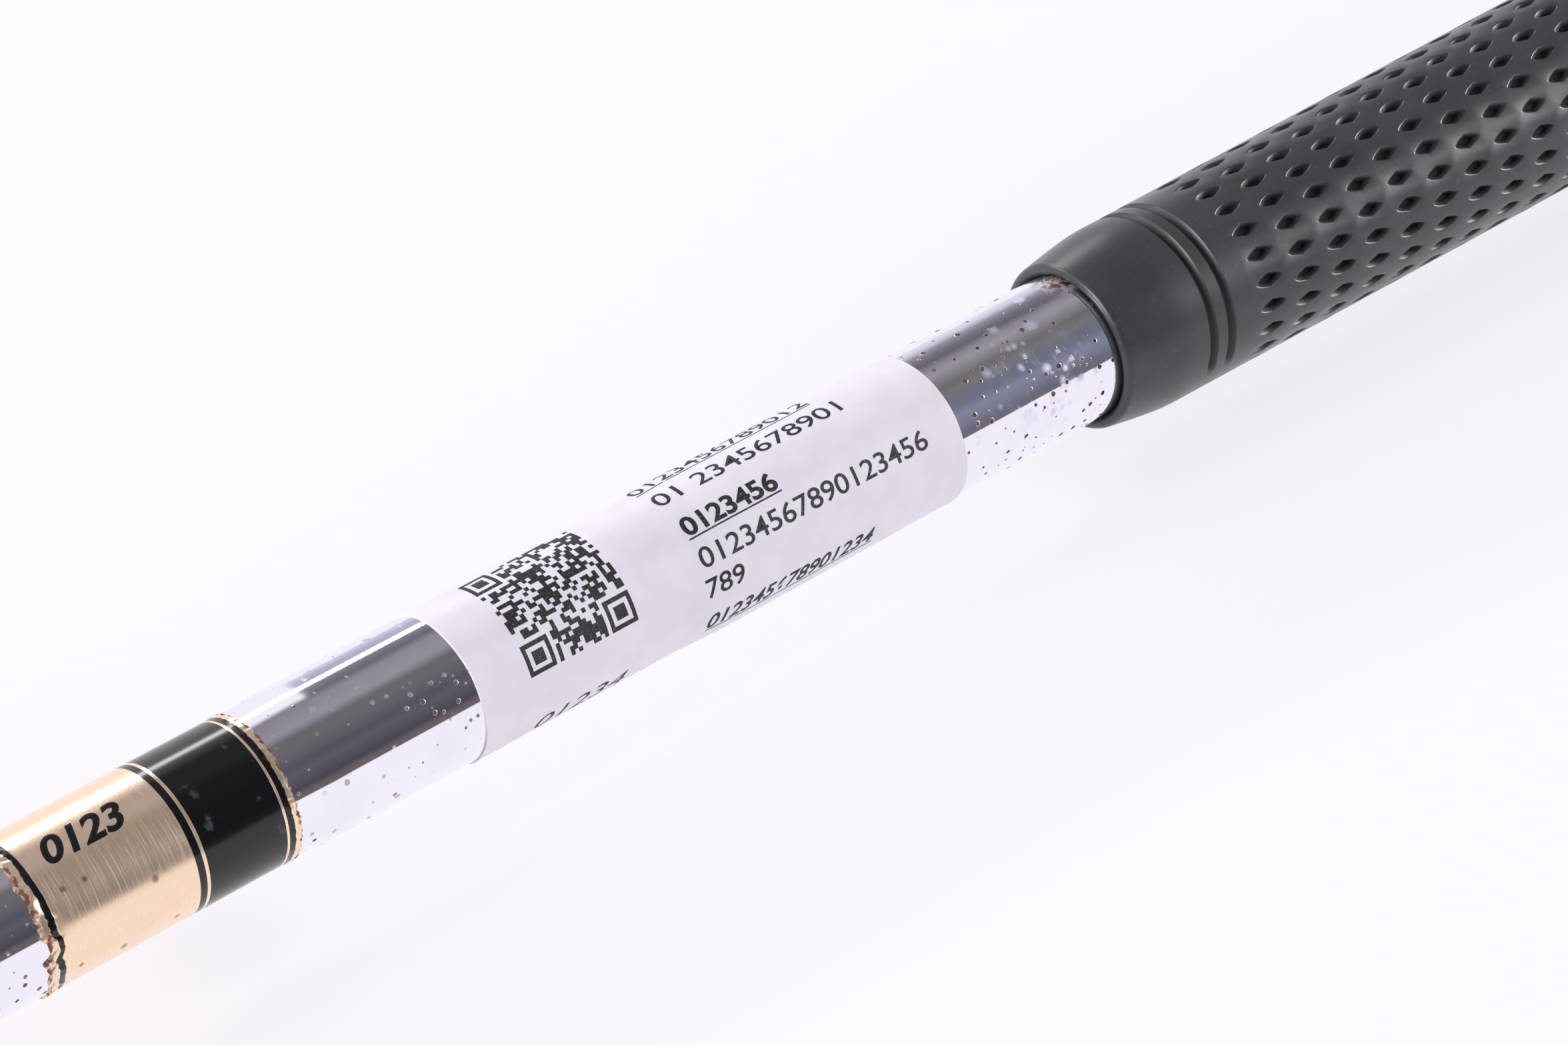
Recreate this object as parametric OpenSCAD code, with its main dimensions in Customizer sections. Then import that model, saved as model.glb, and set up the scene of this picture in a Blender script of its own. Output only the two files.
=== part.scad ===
// Fairway wood with a stepped steel shaft, a moulded rubber grip and a hollow cast head.
// Units are millimetres. The club lies on the floor as it comes to rest: the head is face down
// on its leading edge, the butt of the grip is on the floor, and the shaft runs along +X
// towards the grip. The floor is z = 0 and the origin is the centre of the club's footprint.
//
// Two working frames are used. Turned pieces are drawn as profiles [radius, u], where u runs up
// the shaft from the point where its axis meets the sole plane. The head is drawn as it stands
// at address: x from heel to toe, y from back to face, z up from the sole plane.

/* [Club] */
// Length from the sole plane to the butt, along the shaft
club_length = 1092; // [950:1:1150]
// Angle between the shaft and the ground at address
lie = 57; // [53:0.5:61]

/* [Shaft] */
// Outer diameter of the butt section
shaft_butt_d = 15.24; // [14.4:0.02:16]
// Outer diameter of the tip section
shaft_tip_d = 8.5; // [8:0.1:9.4]
// Wall of the tube at the butt
shaft_butt_wall = 0.4; // [0.3:0.01:0.8]
// Wall of the tube at the tip
shaft_tip_wall = 0.6; // [0.4:0.01:1]
// Distance from the butt to the first step down
first_step = 317; // [312:1:360]
// Length of the parallel tip section
tip_length = 218; // [150:1:260]
// Number of steps from the butt section to the tip section
step_count = 13; // [8:1:16]
// Length of the taper that joins one step to the next
step_taper = 6; // [1:0.5:8]

/* [Grip] */
// Length of the grip with its cap
grip_length = 267; // [255:1:285]
// Outer diameter of the rounded mouth
grip_mouth_d = 17.8; // [17:0.1:18.6]
// Outer diameter of the collar that carries the two ring grooves
grip_collar_d = 19.6; // [18.8:0.1:20.6]
// Outer diameter just below the cap
grip_upper_d = 23.6; // [22:0.1:25]
// Outer diameter of the cap
grip_cap_d = 28; // [26.5:0.1:30]
// Length of the cap
grip_cap_length = 13; // [10:0.5:18]
// Thickness of the cap's end wall
grip_cap_end = 4.5; // [3:0.1:6]
// Diameter of the vent hole through the cap
vent_d = 3.5; // [2.5:0.1:5]
// Thickness of the tape between shaft and grip
tape_thickness = 0.3; // [0.15:0.01:0.5]
// Length at the mouth where the rubber grips the bare shaft
mouth_seal = 4; // [2:0.5:8]
// Distance from the mouth to the first ring groove
groove_offset = 10.8; // [9:0.1:14]
// Distance between the two ring grooves
groove_pitch = 2.5; // [1.8:0.1:3.5]
// Width of a ring groove
groove_w = 0.9; // [0.5:0.1:1.2]
// Depth of a ring groove
groove_depth = 0.4; // [0.2:0.05:0.6]
// Angle that the ring grooves leave plain underneath
groove_gap = 148; // [60:1:180]

/* [Band and label] */
// Distance from the grip's mouth to the stock label
label_offset = 20.8; // [8:0.1:40]
// Length of the stock label along the shaft
label_length = 58.6; // [30:0.1:70]
// Thickness of the stock label
label_thickness = 0.12; // [0.08:0.01:0.25]
// Distance from the grip's mouth to the shaft band
band_offset = 99.9; // [99:0.1:130]
// Length of the shaft band
band_length = 26.4; // [15:0.1:40]
// Thickness of the shaft band
band_thickness = 0.08; // [0.05:0.01:0.2]

/* [Head] */
// Length of the head's body from the shaft's axis at the sole to the toe
head_toe_reach = 86; // [80:1:92]
// Length of the head's body from the shaft's axis at the sole to the heel
head_heel_reach = 19; // [17:0.5:21]
// Distance from the shaft's axis to the back of the head
head_back_reach = 62; // [54:1:68]
// Height of the crown above the sole plane
head_height = 36; // [33:0.5:40]
// Thickness of the crown, skirt and sole walls
shell_wall = 0.8; // [0.7:0.05:1.4]
// Loft of the face
loft = 15; // [12:0.5:19]
// Radius of the face from heel to toe and from sole to crown
face_radius = 280; // [240:5:330]
// Distance from the shaft's axis to the leading edge
face_progression = 14; // [12.5:0.1:17]
// Thickness of the face plate
face_thickness = 2.6; // [2.2:0.1:3.4]
// Width of the face plate
face_plate_w = 66; // [58:1:70]
// Height of the face plate
face_plate_h = 24; // [20:0.5:26]
// Distance between score lines
score_pitch = 3.6; // [3:0.1:5]
// Width of a score line
score_w = 0.8; // [0.5:0.05:1]
// Depth of a score line
score_depth = 0.4; // [0.2:0.05:0.6]
// Length of the sole plate from heel to toe
sole_plate_l = 56; // [44:1:60]
// Width of the sole plate from front to back
sole_plate_w = 34; // [26:1:38]
// Diameter of the screw that closes the foam hole in the sole plate
fill_screw_d = 6; // [5:0.5:8]

/* [Hosel] */
// Length of the hosel, up the shaft from the sole plane
hosel_top = 66; // [60:1:76]
// Outer diameter of the hosel
hosel_d = 13.5; // [12.5:0.1:14.5]
// Height of the floor of the hosel's bore, up the shaft from the sole plane
hosel_floor = 22; // [18:1:28]
// Thickness of the glue between shaft and hosel
glue_gap = 0.12; // [0.08:0.01:0.2]
// Length of the ferrule
ferrule_length = 24; // [14:1:32]
// Length of the balance slug in the tip of the shaft
slug_length = 16; // [8:1:25]
// Length of the cork above the balance slug
cork_length = 10; // [6:1:15]

/* [Hidden] */

// Places along the shaft, as u
butt_u = club_length;
shaft_end_u = butt_u - grip_cap_end;
cap_mouth_u = butt_u - grip_cap_length;
mouth_u = butt_u - grip_length;
label_top_u = mouth_u - label_offset;
band_top_u = mouth_u - band_offset;
first_step_u = butt_u - first_step;
step_pitch = (first_step_u - hosel_floor - tip_length) / (step_count - 1);
step_drop = (shaft_butt_d - shaft_tip_d) / 2 / step_count;
hosel_bore_r = shaft_tip_d / 2 + glue_gap;
ferrule_rim = 0.5;

// Turned shape of the grip: the mouth's rounding, the swell below the cap and the cap's skirt
lip_wall = (grip_mouth_d - shaft_butt_d) / 2;
lip_inner_r = 0.45 * lip_wall;
lip_outer_r = lip_wall - lip_inner_r;
collar_start = 7;
cap_swell = 22;
cap_round = 2.5;
cap_bead = 1.2;
cap_skirt = 2.2;
sleeve_spigot = 5;
spigot_r = grip_cap_d / 2 - cap_bead - cap_skirt;
spigot_u = cap_mouth_u + sleeve_spigot;

// The head's virtual dome before the face is cut: its centre line, front and skirt
dome_x = 42;
dome_front = 24;
crown_apex = [38, -8];
skirt_back_z = 11;
skirt_front_z = 17;
// Bluntness of the outline in each quarter: front toe, front heel, back heel, back toe
outline_power = [2.3, 2.2, 1.95, 2.25];
crown_power = 2.25;
sole_power = 3.4;
outer_slices = 60;
inner_slices = 44;
outer_rings = 9;
inner_rings = 7;

// The face is part of a sphere that touches the leading edge
face_x = 36;
face_mid_z = 17;
leading_edge_z = 1.55;
face_centre_z = face_mid_z - face_radius * sin(loft);
face_drop = leading_edge_z - face_centre_z;
face_centre_y = face_progression - sqrt(face_radius * face_radius - face_drop * face_drop);
face_centre = [face_x, face_centre_y, face_centre_z];
face_plate_power = 2.8;
face_toe_flare = 0.16;
score_margin = 4;

// The neck swells smoothly from the hosel into the heel
neck_low_u = 6;
neck_swell_u = 19;
neck_end_u = 50;
neck_swell = 3.8;
neck_power = 2.2;
neck_fullness = 0.9;
neck_tuck = 0.62;
foam_gap = 0.3;
sole_centre = [38, -19];
sole_plate_power = 2.5;
sole_cut_top = 8;
screw_at = [38, -31];
screw_length = 9;
screw_sunk = 0.35;
hex_af = 0.6 * fill_screw_d;
hex_depth = 3;

// The club leans by the small angle that puts both the leading edge and the cap on the floor
contact_span = butt_u + face_x * cos(lie);
lean = asin((face_progression - grip_cap_d / 2) / contact_span);
// How far the toe end of the head reaches past the sole plane, and sideways from the shaft. The
// toe is round, so neither reach is the outline's own: each is put right by one short length.
toe_tuck = 10.9;
toe_proud = 0.95;
toe_overhang = (head_toe_reach - toe_tuck) * cos(lie);
toe_side = (head_toe_reach + toe_proud) * sin(lie) + skirt_front_z * cos(lie);
butt_x = (club_length + toe_overhang) / 2;
shaft_y = (toe_side - grip_cap_d / 2) / 2;

$fn = 64;

// ---- frames ----

// Puts a piece drawn up the +Z axis, with its foot on the sole plane, on the shaft's axis
module on_shaft() {
    translate([butt_x, shaft_y, grip_cap_d / 2])
        rotate([0, 90 + lean, 0])
            translate([0, 0, -club_length])
                children();
}

// Puts a piece drawn at address, with the shaft's axis through the origin, on the club
module at_address() {
    on_shaft()
        rotate([0, -90, 0])
            rotate([-90, 0, 180 + lie])
                children();
}

// Turns up the hosel's axis inside the address frame
module up_hosel() {
    rotate([0, lie - 90, 0])
        children();
}

// ---- profiles ----

// How many steps down the shaft has taken by height u
function steps_taken(u) = max(0, min(step_count, (first_step_u - u) / step_pitch + 1));

// Outer radius of the shaft at height u
function shaft_r(u) =
    let (
        whole = floor(steps_taken(u)),
        past = u < first_step_u - (whole - 1) * step_pitch - step_taper,
        into = (first_step_u - (whole - 1) * step_pitch - u) / step_taper,
        part = whole == 0 ? 0 : past ? 1 : into
    )
    shaft_butt_d / 2 - step_drop * (whole - (whole == 0 ? 0 : 1 - part));

// Heights of all corners of the shaft's profile between two heights, from low to high
function step_corners(low, high) = [
    for (i = [step_count - 1 : -1 : 0], end = [step_taper, 0])
        let (u = first_step_u - i * step_pitch - end)
        if (u > low + 0.01 && u < high - 0.01) u
];

function profile_heights(low, high) = concat([low], step_corners(low, high), [high]);

// A skin of one thickness that follows the shaft's steps
function skin_profile(low, high, inner, outer) =
    let (us = profile_heights(low, high), last = len(us) - 1)
    concat(
        [for (u = us) [shaft_r(u) + outer, u]],
        [for (i = [last : -1 : 0]) [shaft_r(us[i]) + inner, us[i]]]
    );

function shaft_wall(u) =
    let (share = (shaft_butt_d / 2 - shaft_r(u)) / (step_drop * step_count))
    shaft_butt_wall + (shaft_tip_wall - shaft_butt_wall) * share;

// Points of a quarter turn between two directions, for rounded corners of a profile
function arc(centre, r, from, to, n = 6) = [
    for (i = [0 : n])
        let (a = from + (to - from) * i / n)
        [centre[0] + r * cos(a), centre[1] + r * sin(a)]
];

// Outer radius of the grip, from the collar to the cap
function grip_r(u) =
    let (
        share = (u - mouth_u - collar_start) / (cap_mouth_u - mouth_u - collar_start),
        near_cap = max(0, 1 - (cap_mouth_u - u) / cap_swell)
    )
    grip_collar_d / 2
    + (grip_upper_d - grip_collar_d) / 2 * share
    + (grip_cap_d / 2 - cap_bead - grip_upper_d / 2) * near_cap * near_cap;

// Radius of the neck round the hosel's axis
function neck_r(u) =
    let (
        up = max(0, (u - neck_swell_u) / (neck_end_u - neck_swell_u)),
        down = max(0, (neck_swell_u - u) / (neck_swell_u - neck_low_u)),
        blend = up >= 1 ? 0 : pow(1 - up, neck_power) * (1 + neck_fullness * up),
        base = hosel_d / 2 + neck_swell * blend
    )
    down > 0 ? base * sqrt(1 - neck_tuck * down * down) : base;

// ---- the head's surface ----

function quarter(a) = floor(((a % 360) + 360) % 360 / 90);

function signed_power(v, p) = sign(v) * pow(abs(v), p);

// Plan outline of the dome at angle a, 0 at the toe and 90 at the face
function outline(a) =
    let (p = 2 / outline_power[quarter(a)], c = cos(a), s = sin(a))
    [
        dome_x + (c > 0 ? head_toe_reach - dome_x : head_heel_reach + dome_x) * signed_power(c, p),
        (s > 0 ? dome_front : head_back_reach) * signed_power(s, p)
    ];

// The same outline moved inwards by one distance
function inset_outline(a, inset) =
    let (
        turn = 0.7,
        ahead = outline(a + turn),
        behind = outline(a - turn),
        run = ahead - behind,
        inward = [-run[1], run[0]] / norm(run)
    )
    outline(a) + inward * inset;

// A point of the dome: b runs from -90 at the sole's centre to 90 at the crown's apex
function dome_point(a, b, inset) =
    let (
        power = b > 0 ? crown_power : sole_power,
        out = pow(cos(b), 2 / power),
        up = pow(abs(sin(b)), 2 / power),
        rim = inset_outline(a, inset),
        plan = crown_apex + (rim - crown_apex) * out,
        skirt_z = skirt_back_z + (skirt_front_z - skirt_back_z) * (1 + sin(a)) / 2,
        z = b > 0 ? skirt_z + (head_height - inset - skirt_z) * up
                  : skirt_z - (skirt_z - inset) * up
    )
    [plan[0], plan[1], z];

// The closed dome, inset by a wall
module dome(inset, slices, rings) {
    step = 90 / rings;
    grid = [
        for (k = [1 - rings : rings - 1], i = [0 : slices - 1])
            dome_point(360 * i / slices, k * step, inset)
    ];
    poles = [
        [crown_apex[0], crown_apex[1], inset],
        [crown_apex[0], crown_apex[1], head_height - inset]
    ];
    bands = 2 * rings - 2;
    low_pole = len(grid);
    walls = [
        for (k = [0 : bands - 1], i = [0 : slices - 1], half = [0, 1])
            let (
                j = (i + 1) % slices,
                p = k * slices + i,
                q = k * slices + j,
                r = p + slices,
                s = q + slices
            )
            half == 0 ? [p, r, q] : [q, r, s]
    ];
    caps = [
        for (i = [0 : slices - 1], top = [0, 1])
            let (j = (i + 1) % slices, row = bands * slices)
            top == 0 ? [low_pole, i, j] : [low_pole + 1, row + j, row + i]
    ];
    polyhedron(points = concat(grid, poles), faces = concat(walls, caps));
}

// Ball whose surface is the face, or the back of the face wall
module face_ball(depth) {
    translate(face_centre)
        sphere(r = face_radius - depth, $fn = 360);
}

// Outline of the face plate, square to the face and a little taller at the toe
module face_outline(inset) {
    half_w = face_plate_w / 2 - inset;
    half_h = face_plate_h / 2 - inset;
    p = 2 / face_plate_power;
    polygon([
        for (a = [0 : 7.5 : 352.5])
            let (x = half_w * signed_power(cos(a), p), y = half_h * signed_power(sin(a), p))
            [x, y * (1 + face_toe_flare * x / half_w)]
    ]);
}

// Extrudes the face plate's outline through the front wall
module through_face(inset) {
    reach = 14;
    translate([face_x, 0, face_mid_z])
        rotate([90 + loft, 0, 0])
            translate([0, 0, -2 * reach])
                linear_extrude(3 * reach)
                    face_outline(inset);
}

module sole_outline() {
    p = 2 / sole_plate_power;
    translate(sole_centre)
        polygon([
            for (a = [0 : 10 : 350])
                [
                    sole_plate_l / 2 * signed_power(cos(a), p),
                    sole_plate_w / 2 * signed_power(sin(a), p)
                ]
        ]);
}

// Cuts the sole plate's outline through the bottom wall and no higher
module through_sole() {
    translate([0, 0, sole_cut_top - skirt_back_z])
        linear_extrude(skirt_back_z)
            sole_outline();
}

module neck(extra) {
    up_hosel()
        rotate_extrude()
            polygon(concat(
                [[0, neck_low_u], [neck_r(neck_low_u) + extra, neck_low_u]],
                [for (u = [neck_low_u + 2 : 2 : neck_end_u]) [neck_r(u) + extra, u]],
                [[hosel_d / 2 + extra, hosel_top], [0, hosel_top]]
            ));
}

module hosel_bore() {
    up_hosel()
        translate([0, 0, hosel_floor])
            cylinder(r = hosel_bore_r, h = hosel_top);
}

// The hollow of the head. The hosel's tube runs down through it, and a web as thick as the
// tube joins it to the face wall, so that no thin gap is left between the two.
module head_cavity(inset) {
    tube_r = hosel_d / 2 + inset - shell_wall;
    difference() {
        intersection() {
            dome(inset, inner_slices, inner_rings);
            face_ball(face_thickness + inset - shell_wall);
        }
        up_hosel() {
            cylinder(r = tube_r, h = hosel_top);
            translate([-tube_r, 0, 0])
                cube([2 * tube_r, dome_front, hosel_top]);
        }
    }
}

// ---- nodes on the shaft ----

module shaft() {
    us = profile_heights(hosel_floor, shaft_end_u);
    last = len(us) - 1;
    color("silver")
        on_shaft()
            rotate_extrude()
                polygon(concat(
                    [for (u = us) [shaft_r(u), u]],
                    [for (i = [last : -1 : 0]) [shaft_r(us[i]) - shaft_wall(us[i]), us[i]]]
                ));
}

module shaft_band() {
    color("goldenrod")
        on_shaft()
            rotate_extrude()
                polygon(skin_profile(band_top_u - band_length, band_top_u, 0, band_thickness));
}

module stock_label() {
    color("white")
        on_shaft()
            rotate_extrude()
                polygon(skin_profile(label_top_u - label_length, label_top_u, 0, label_thickness));
}

module grip_tape() {
    color("khaki")
        on_shaft()
            rotate_extrude()
                polygon(skin_profile(mouth_u + mouth_seal, shaft_end_u, 0, tape_thickness));
}

// The rubber from the mouth to the cap, with the spigot that the cap is moulded over
module grip_body() {
    seal_u = mouth_u + mouth_seal;
    rise = [for (u = [mouth_u + collar_start : 20 : cap_mouth_u - cap_swell]) [grip_r(u), u]];
    swell = [for (i = [4 : -1 : 0]) let (u = cap_mouth_u - cap_swell * i / 5) [grip_r(u), u]];
    bore = [for (u = profile_heights(seal_u, spigot_u)) [shaft_r(u) + tape_thickness, u]];
    last = len(bore) - 1;
    rotate_extrude()
        polygon(concat(
            arc([shaft_butt_d / 2 + lip_inner_r, mouth_u + lip_inner_r], lip_inner_r, 180, 270, 4),
            arc([grip_mouth_d / 2 - lip_outer_r, mouth_u + lip_outer_r], lip_outer_r, 285, 360, 5),
            [[(grip_mouth_d + grip_collar_d) / 4, mouth_u + collar_start / 2]],
            rise, swell,
            [[spigot_r, cap_mouth_u], [spigot_r, spigot_u]],
            [for (i = [last : -1 : 0]) bore[i]],
            [[shaft_butt_d / 2, seal_u]]
        ));
}

// One ring groove that stops short underneath, with rounded ends
module ring_groove(u) {
    tool_r = (groove_w * groove_w / 4 + groove_depth * groove_depth) / (2 * groove_depth);
    tool_at = grip_r(u) + tool_r - groove_depth;
    translate([0, 0, u]) {
        rotate([0, 0, groove_gap / 2])
            rotate_extrude(angle = 360 - groove_gap)
                translate([tool_at, 0])
                    circle(r = tool_r);
        for (side = [-1, 1])
            rotate([0, 0, side * groove_gap / 2])
                translate([tool_at, 0, 0])
                    sphere(r = tool_r);
    }
}

module grip_sleeve() {
    color("dimgray")
        on_shaft()
            difference() {
                grip_body();
                for (i = [0, 1])
                    ring_groove(mouth_u + groove_offset + i * groove_pitch);
            }
}

module grip_cap() {
    socket_r = shaft_butt_d / 2 + tape_thickness;
    rim_r = grip_cap_d / 2;
    color("#2b2b2e")
        on_shaft()
            difference() {
                rotate_extrude()
                    polygon(concat(
                        [[spigot_r, cap_mouth_u], [rim_r - cap_bead, cap_mouth_u]],
                        arc([rim_r - cap_bead, cap_mouth_u + cap_bead], cap_bead, 285, 360, 5),
                        arc([rim_r - cap_round, butt_u - cap_round], cap_round, 0, 90, 6),
                        [[0, butt_u], [0, shaft_end_u], [socket_r, shaft_end_u]],
                        [[socket_r, spigot_u], [spigot_r, spigot_u]]
                    ));
                translate([0, 0, shaft_end_u - 1])
                    cylinder(d = vent_d, h = grip_cap_end + 2);
            }
}

module ferrule() {
    bore_r = shaft_tip_d / 2;
    top_r = bore_r + ferrule_rim;
    steps = 8;
    bow = 0.6;
    color("black")
        on_shaft()
            rotate_extrude()
                polygon(concat(
                    [[bore_r, hosel_top]],
                    [
                        for (i = [0 : steps])
                            let (t = i / steps)
                            [
                                top_r + (hosel_d / 2 - top_r) * (1 - t * t * (1 + bow - bow * t)),
                                hosel_top + ferrule_length * t
                            ]
                    ],
                    [[bore_r, hosel_top + ferrule_length]]
                ));
}

module hosel_epoxy() {
    color("wheat")
        on_shaft()
            translate([0, 0, hosel_floor])
                difference() {
                    cylinder(r = hosel_bore_r, h = hosel_top - hosel_floor);
                    translate([0, 0, -1])
                        cylinder(r = shaft_tip_d / 2, h = hosel_top);
                }
}

module balance_slug() {
    color("darkgoldenrod")
        on_shaft()
            translate([0, 0, hosel_floor])
                cylinder(r = shaft_tip_d / 2 - shaft_tip_wall, h = slug_length);
}

module slug_cork() {
    color("burlywood")
        on_shaft()
            translate([0, 0, hosel_floor + slug_length])
                cylinder(r = shaft_tip_d / 2 - shaft_tip_wall, h = cork_length);
}

// ---- nodes of the head ----

module head_body() {
    color("#1d1e22")
        at_address()
            difference() {
                union() {
                    difference() {
                        intersection() {
                            dome(0, outer_slices, outer_rings);
                            face_ball(0);
                        }
                        head_cavity(shell_wall);
                    }
                    difference() {
                        neck(0);
                        head_cavity(shell_wall);
                    }
                }
                hosel_bore();
                through_face(0);
                through_sole();
            }
}

module face_plate() {
    color("silver")
        at_address()
            difference() {
                intersection() {
                    through_face(0);
                    face_ball(0);
                }
                face_ball(face_thickness);
                score_lines();
            }
}

// Score lines of even depth: slabs across the face, kept off the ball below the grooves
module score_lines() {
    half = floor((face_plate_h / 2 - score_margin) / score_pitch);
    difference() {
        intersection() {
            through_face(score_margin);
            translate([face_x, 0, face_mid_z])
                rotate([loft, 0, 0])
                    for (i = [-half : half])
                        translate([0, 0, i * score_pitch])
                            cube([face_plate_w, 60, score_w], center = true);
        }
        face_ball(score_depth);
    }
}

module sole_plate() {
    color("lightgray")
        at_address()
            difference() {
                intersection() {
                    dome(0, outer_slices, outer_rings);
                    through_sole();
                }
                dome(shell_wall, inner_slices, inner_rings);
                translate([screw_at[0], screw_at[1], -2])
                    cylinder(d = fill_screw_d, h = skirt_back_z);
            }
}

module fill_screw() {
    color("gray")
        at_address()
            translate([screw_at[0], screw_at[1], 0])
                difference() {
                    translate([0, 0, screw_sunk])
                        cylinder(d = fill_screw_d, h = screw_length - screw_sunk);
                    cylinder(d = hex_af / cos(30), h = hex_depth, $fn = 6);
                }
}

module foam_fill() {
    color("lightyellow")
        at_address()
            difference() {
                head_cavity(shell_wall + foam_gap);
                translate([screw_at[0], screw_at[1], -1])
                    cylinder(d = fill_screw_d + 2 * foam_gap, h = screw_length + 1 + foam_gap);
            }
}

grip_sleeve();
grip_cap();
grip_tape();
shaft();
shaft_band();
stock_label();
ferrule();
hosel_epoxy();
balance_slug();
slug_cork();
head_body();
face_plate();
sole_plate();
fill_screw();
foam_fill();
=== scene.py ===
# %% [markdown]
# # A used fairway wood, dressed round its CAD frame
# The real object is a golf club seen close: a stepped, chrome plated steel tube with a gold and
# black foil band, a paper stock label and a dimpled rubber grip. Its head, which the photograph
# doesn't show, is a hollow steel shell with black enamel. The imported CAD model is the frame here.
# Every piece is made round it in the same place and size, so nothing has to be fitted later.

import functools
import math
import random
from contextlib import contextmanager

import bmesh
import bpy
import numpy as np
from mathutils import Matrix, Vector, noise
from mathutils.bvhtree import BVHTree


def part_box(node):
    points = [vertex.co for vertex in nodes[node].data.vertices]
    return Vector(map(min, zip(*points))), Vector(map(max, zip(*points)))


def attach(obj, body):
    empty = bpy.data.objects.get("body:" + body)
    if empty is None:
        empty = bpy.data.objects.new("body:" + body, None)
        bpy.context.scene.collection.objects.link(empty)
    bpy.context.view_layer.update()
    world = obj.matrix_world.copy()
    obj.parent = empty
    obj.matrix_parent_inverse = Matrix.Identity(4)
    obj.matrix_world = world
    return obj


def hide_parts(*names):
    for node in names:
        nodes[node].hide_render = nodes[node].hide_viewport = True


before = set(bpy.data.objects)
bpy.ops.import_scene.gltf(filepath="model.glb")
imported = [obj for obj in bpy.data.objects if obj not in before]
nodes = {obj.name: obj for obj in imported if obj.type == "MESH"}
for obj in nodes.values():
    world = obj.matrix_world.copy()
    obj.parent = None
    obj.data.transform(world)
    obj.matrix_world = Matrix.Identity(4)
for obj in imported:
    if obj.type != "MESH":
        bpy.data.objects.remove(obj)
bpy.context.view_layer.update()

MM = 0.001
scene = bpy.context.scene
shaft_low, shaft_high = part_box("shaft")
AXIS = (shaft_low + shaft_high) / 2
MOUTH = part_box("grip_sleeve")[0].x / MM
print("shaft axis at y, z in mm:", round(AXIS.y / MM, 2), round(AXIS.z / MM, 2))

# %% [markdown]
# ## One way to write colours, nodes and points round the shaft
# Colours are read off as sRGB hex values, but shaders work in linear light, so one function turns
# them. Another adds a node with its settings and links. A few nodes that recur have a short name,
# and a name in capitals is an operation of the Math node. Nearly everything here sits round one
# straight axis, so a third gives the place at a distance along it, an angle and a radius: 0 is
# up, 90 is towards the camera, and all lengths are in mm. The rest make objects, meshes and digits
# the same way each time.

# %% Helpers for colour, nodes and places


def srgb(code):
    parts = [int(code[i:i + 2], 16) / 255 for i in (1, 3, 5)]
    lit = [p / 12.92 if p <= 0.04045 else ((p + 0.055) / 1.055) ** 2.4 for p in parts]
    return (*lit, 1.0)


# A short name, the node's type, the order of its inputs and its settings
NODE_KINDS = {
    "noise": ("ShaderNodeTexNoise", ("Vector", "Scale", "Detail"), {}),
    "range": ("ShaderNodeMapRange", ("Value", "From Min", "From Max", "To Min", "To Max"), {}),
    "bump": ("ShaderNodeBump", ("Height", "Distance", "Strength"), {}),
    "vector": ("ShaderNodeVectorMath", (0, 1), {}),
    "mapping": ("ShaderNodeMapping", ("Vector", "Scale"), {}),
    "principled": ("ShaderNodeBsdfPrincipled", (), {}),
    "output": ("ShaderNodeOutputMaterial", ("Surface",), {}),
    "ramp": ("ShaderNodeValToRGB", ("Fac",), {}),
    "mix": ("ShaderNodeMix", (0, 6, 7), {"data_type": "RGBA", "clamp_factor": True}),
}


def add_node(tree, kind, *fed, stops=(), **settings):
    """Adds a node and fills its inputs, in order or by name, with values, sockets or nodes."""
    known = ("ShaderNodeMath", (0, 1, 2), {"operation": kind}) if kind.isupper() else (kind, (), {})
    full, order, preset = NODE_KINDS.get(kind, known)
    made = tree.nodes.new(full)
    for name, value in {**preset, **settings}.items():
        setattr(made, name, value)
    given = fed[0] if fed and isinstance(fed[0], dict) else dict(zip(order, fed))
    for name, value in given.items():
        if isinstance(value, bpy.types.Node):
            value = next(socket for socket in value.outputs if socket.enabled)
        if isinstance(value, bpy.types.NodeSocket):
            tree.links.new(value, made.inputs[name])
        else:
            made.inputs[name].default_value = value
    for _ in stops[2:]:
        made.color_ramp.elements.new(0.5)
    for place, (at, code) in enumerate(stops):
        element = made.color_ramp.elements[place]
        element.position, element.color = at, srgb(code)
    return made


def linked(name, data):
    """An object with this data, in the scene."""
    made = bpy.data.objects.new(name, data)
    scene.collection.objects.link(made)
    return made


def mesh_of(name, verts, faces=()):
    data = bpy.data.meshes.new(name)
    data.from_pydata(verts, [], faces)
    return data


def ring_faces(rings, around, closed=False):
    """Quads between rings of points, and from the last ring to the first if closed."""
    faces = []
    for k in range(rings if closed else rings - 1):
        for i in range(around):
            j, onward = (i + 1) % around, (k + 1) % rings
            faces.append((k * around + i, k * around + j, onward * around + j, onward * around + i))
    return faces


@contextmanager
def edited(mesh):
    """Lends out a mesh for editing and writes it back."""
    shape = bmesh.new()
    shape.from_mesh(mesh)
    yield shape
    shape.to_mesh(mesh)
    shape.free()


def evaluated_mesh(carrier):
    """What an object's modifiers make of it, as a plain mesh."""
    bpy.context.view_layer.update()
    seen = carrier.evaluated_get(bpy.context.evaluated_depsgraph_get())
    return bpy.data.meshes.new_from_object(seen)


def flat_digits(name, text, **looks):
    """Plain digits as a mesh in the font's own units."""
    curve = bpy.data.curves.new(name, "FONT")
    curve.body = text
    for key, value in looks.items():
        setattr(curve, key, value)
    flat = linked(name, curve)
    bpy.context.view_layer.update()
    mesh = bpy.data.meshes.new_from_object(flat)
    bpy.data.objects.remove(flat)
    bpy.data.curves.remove(curve)
    return mesh


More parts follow.
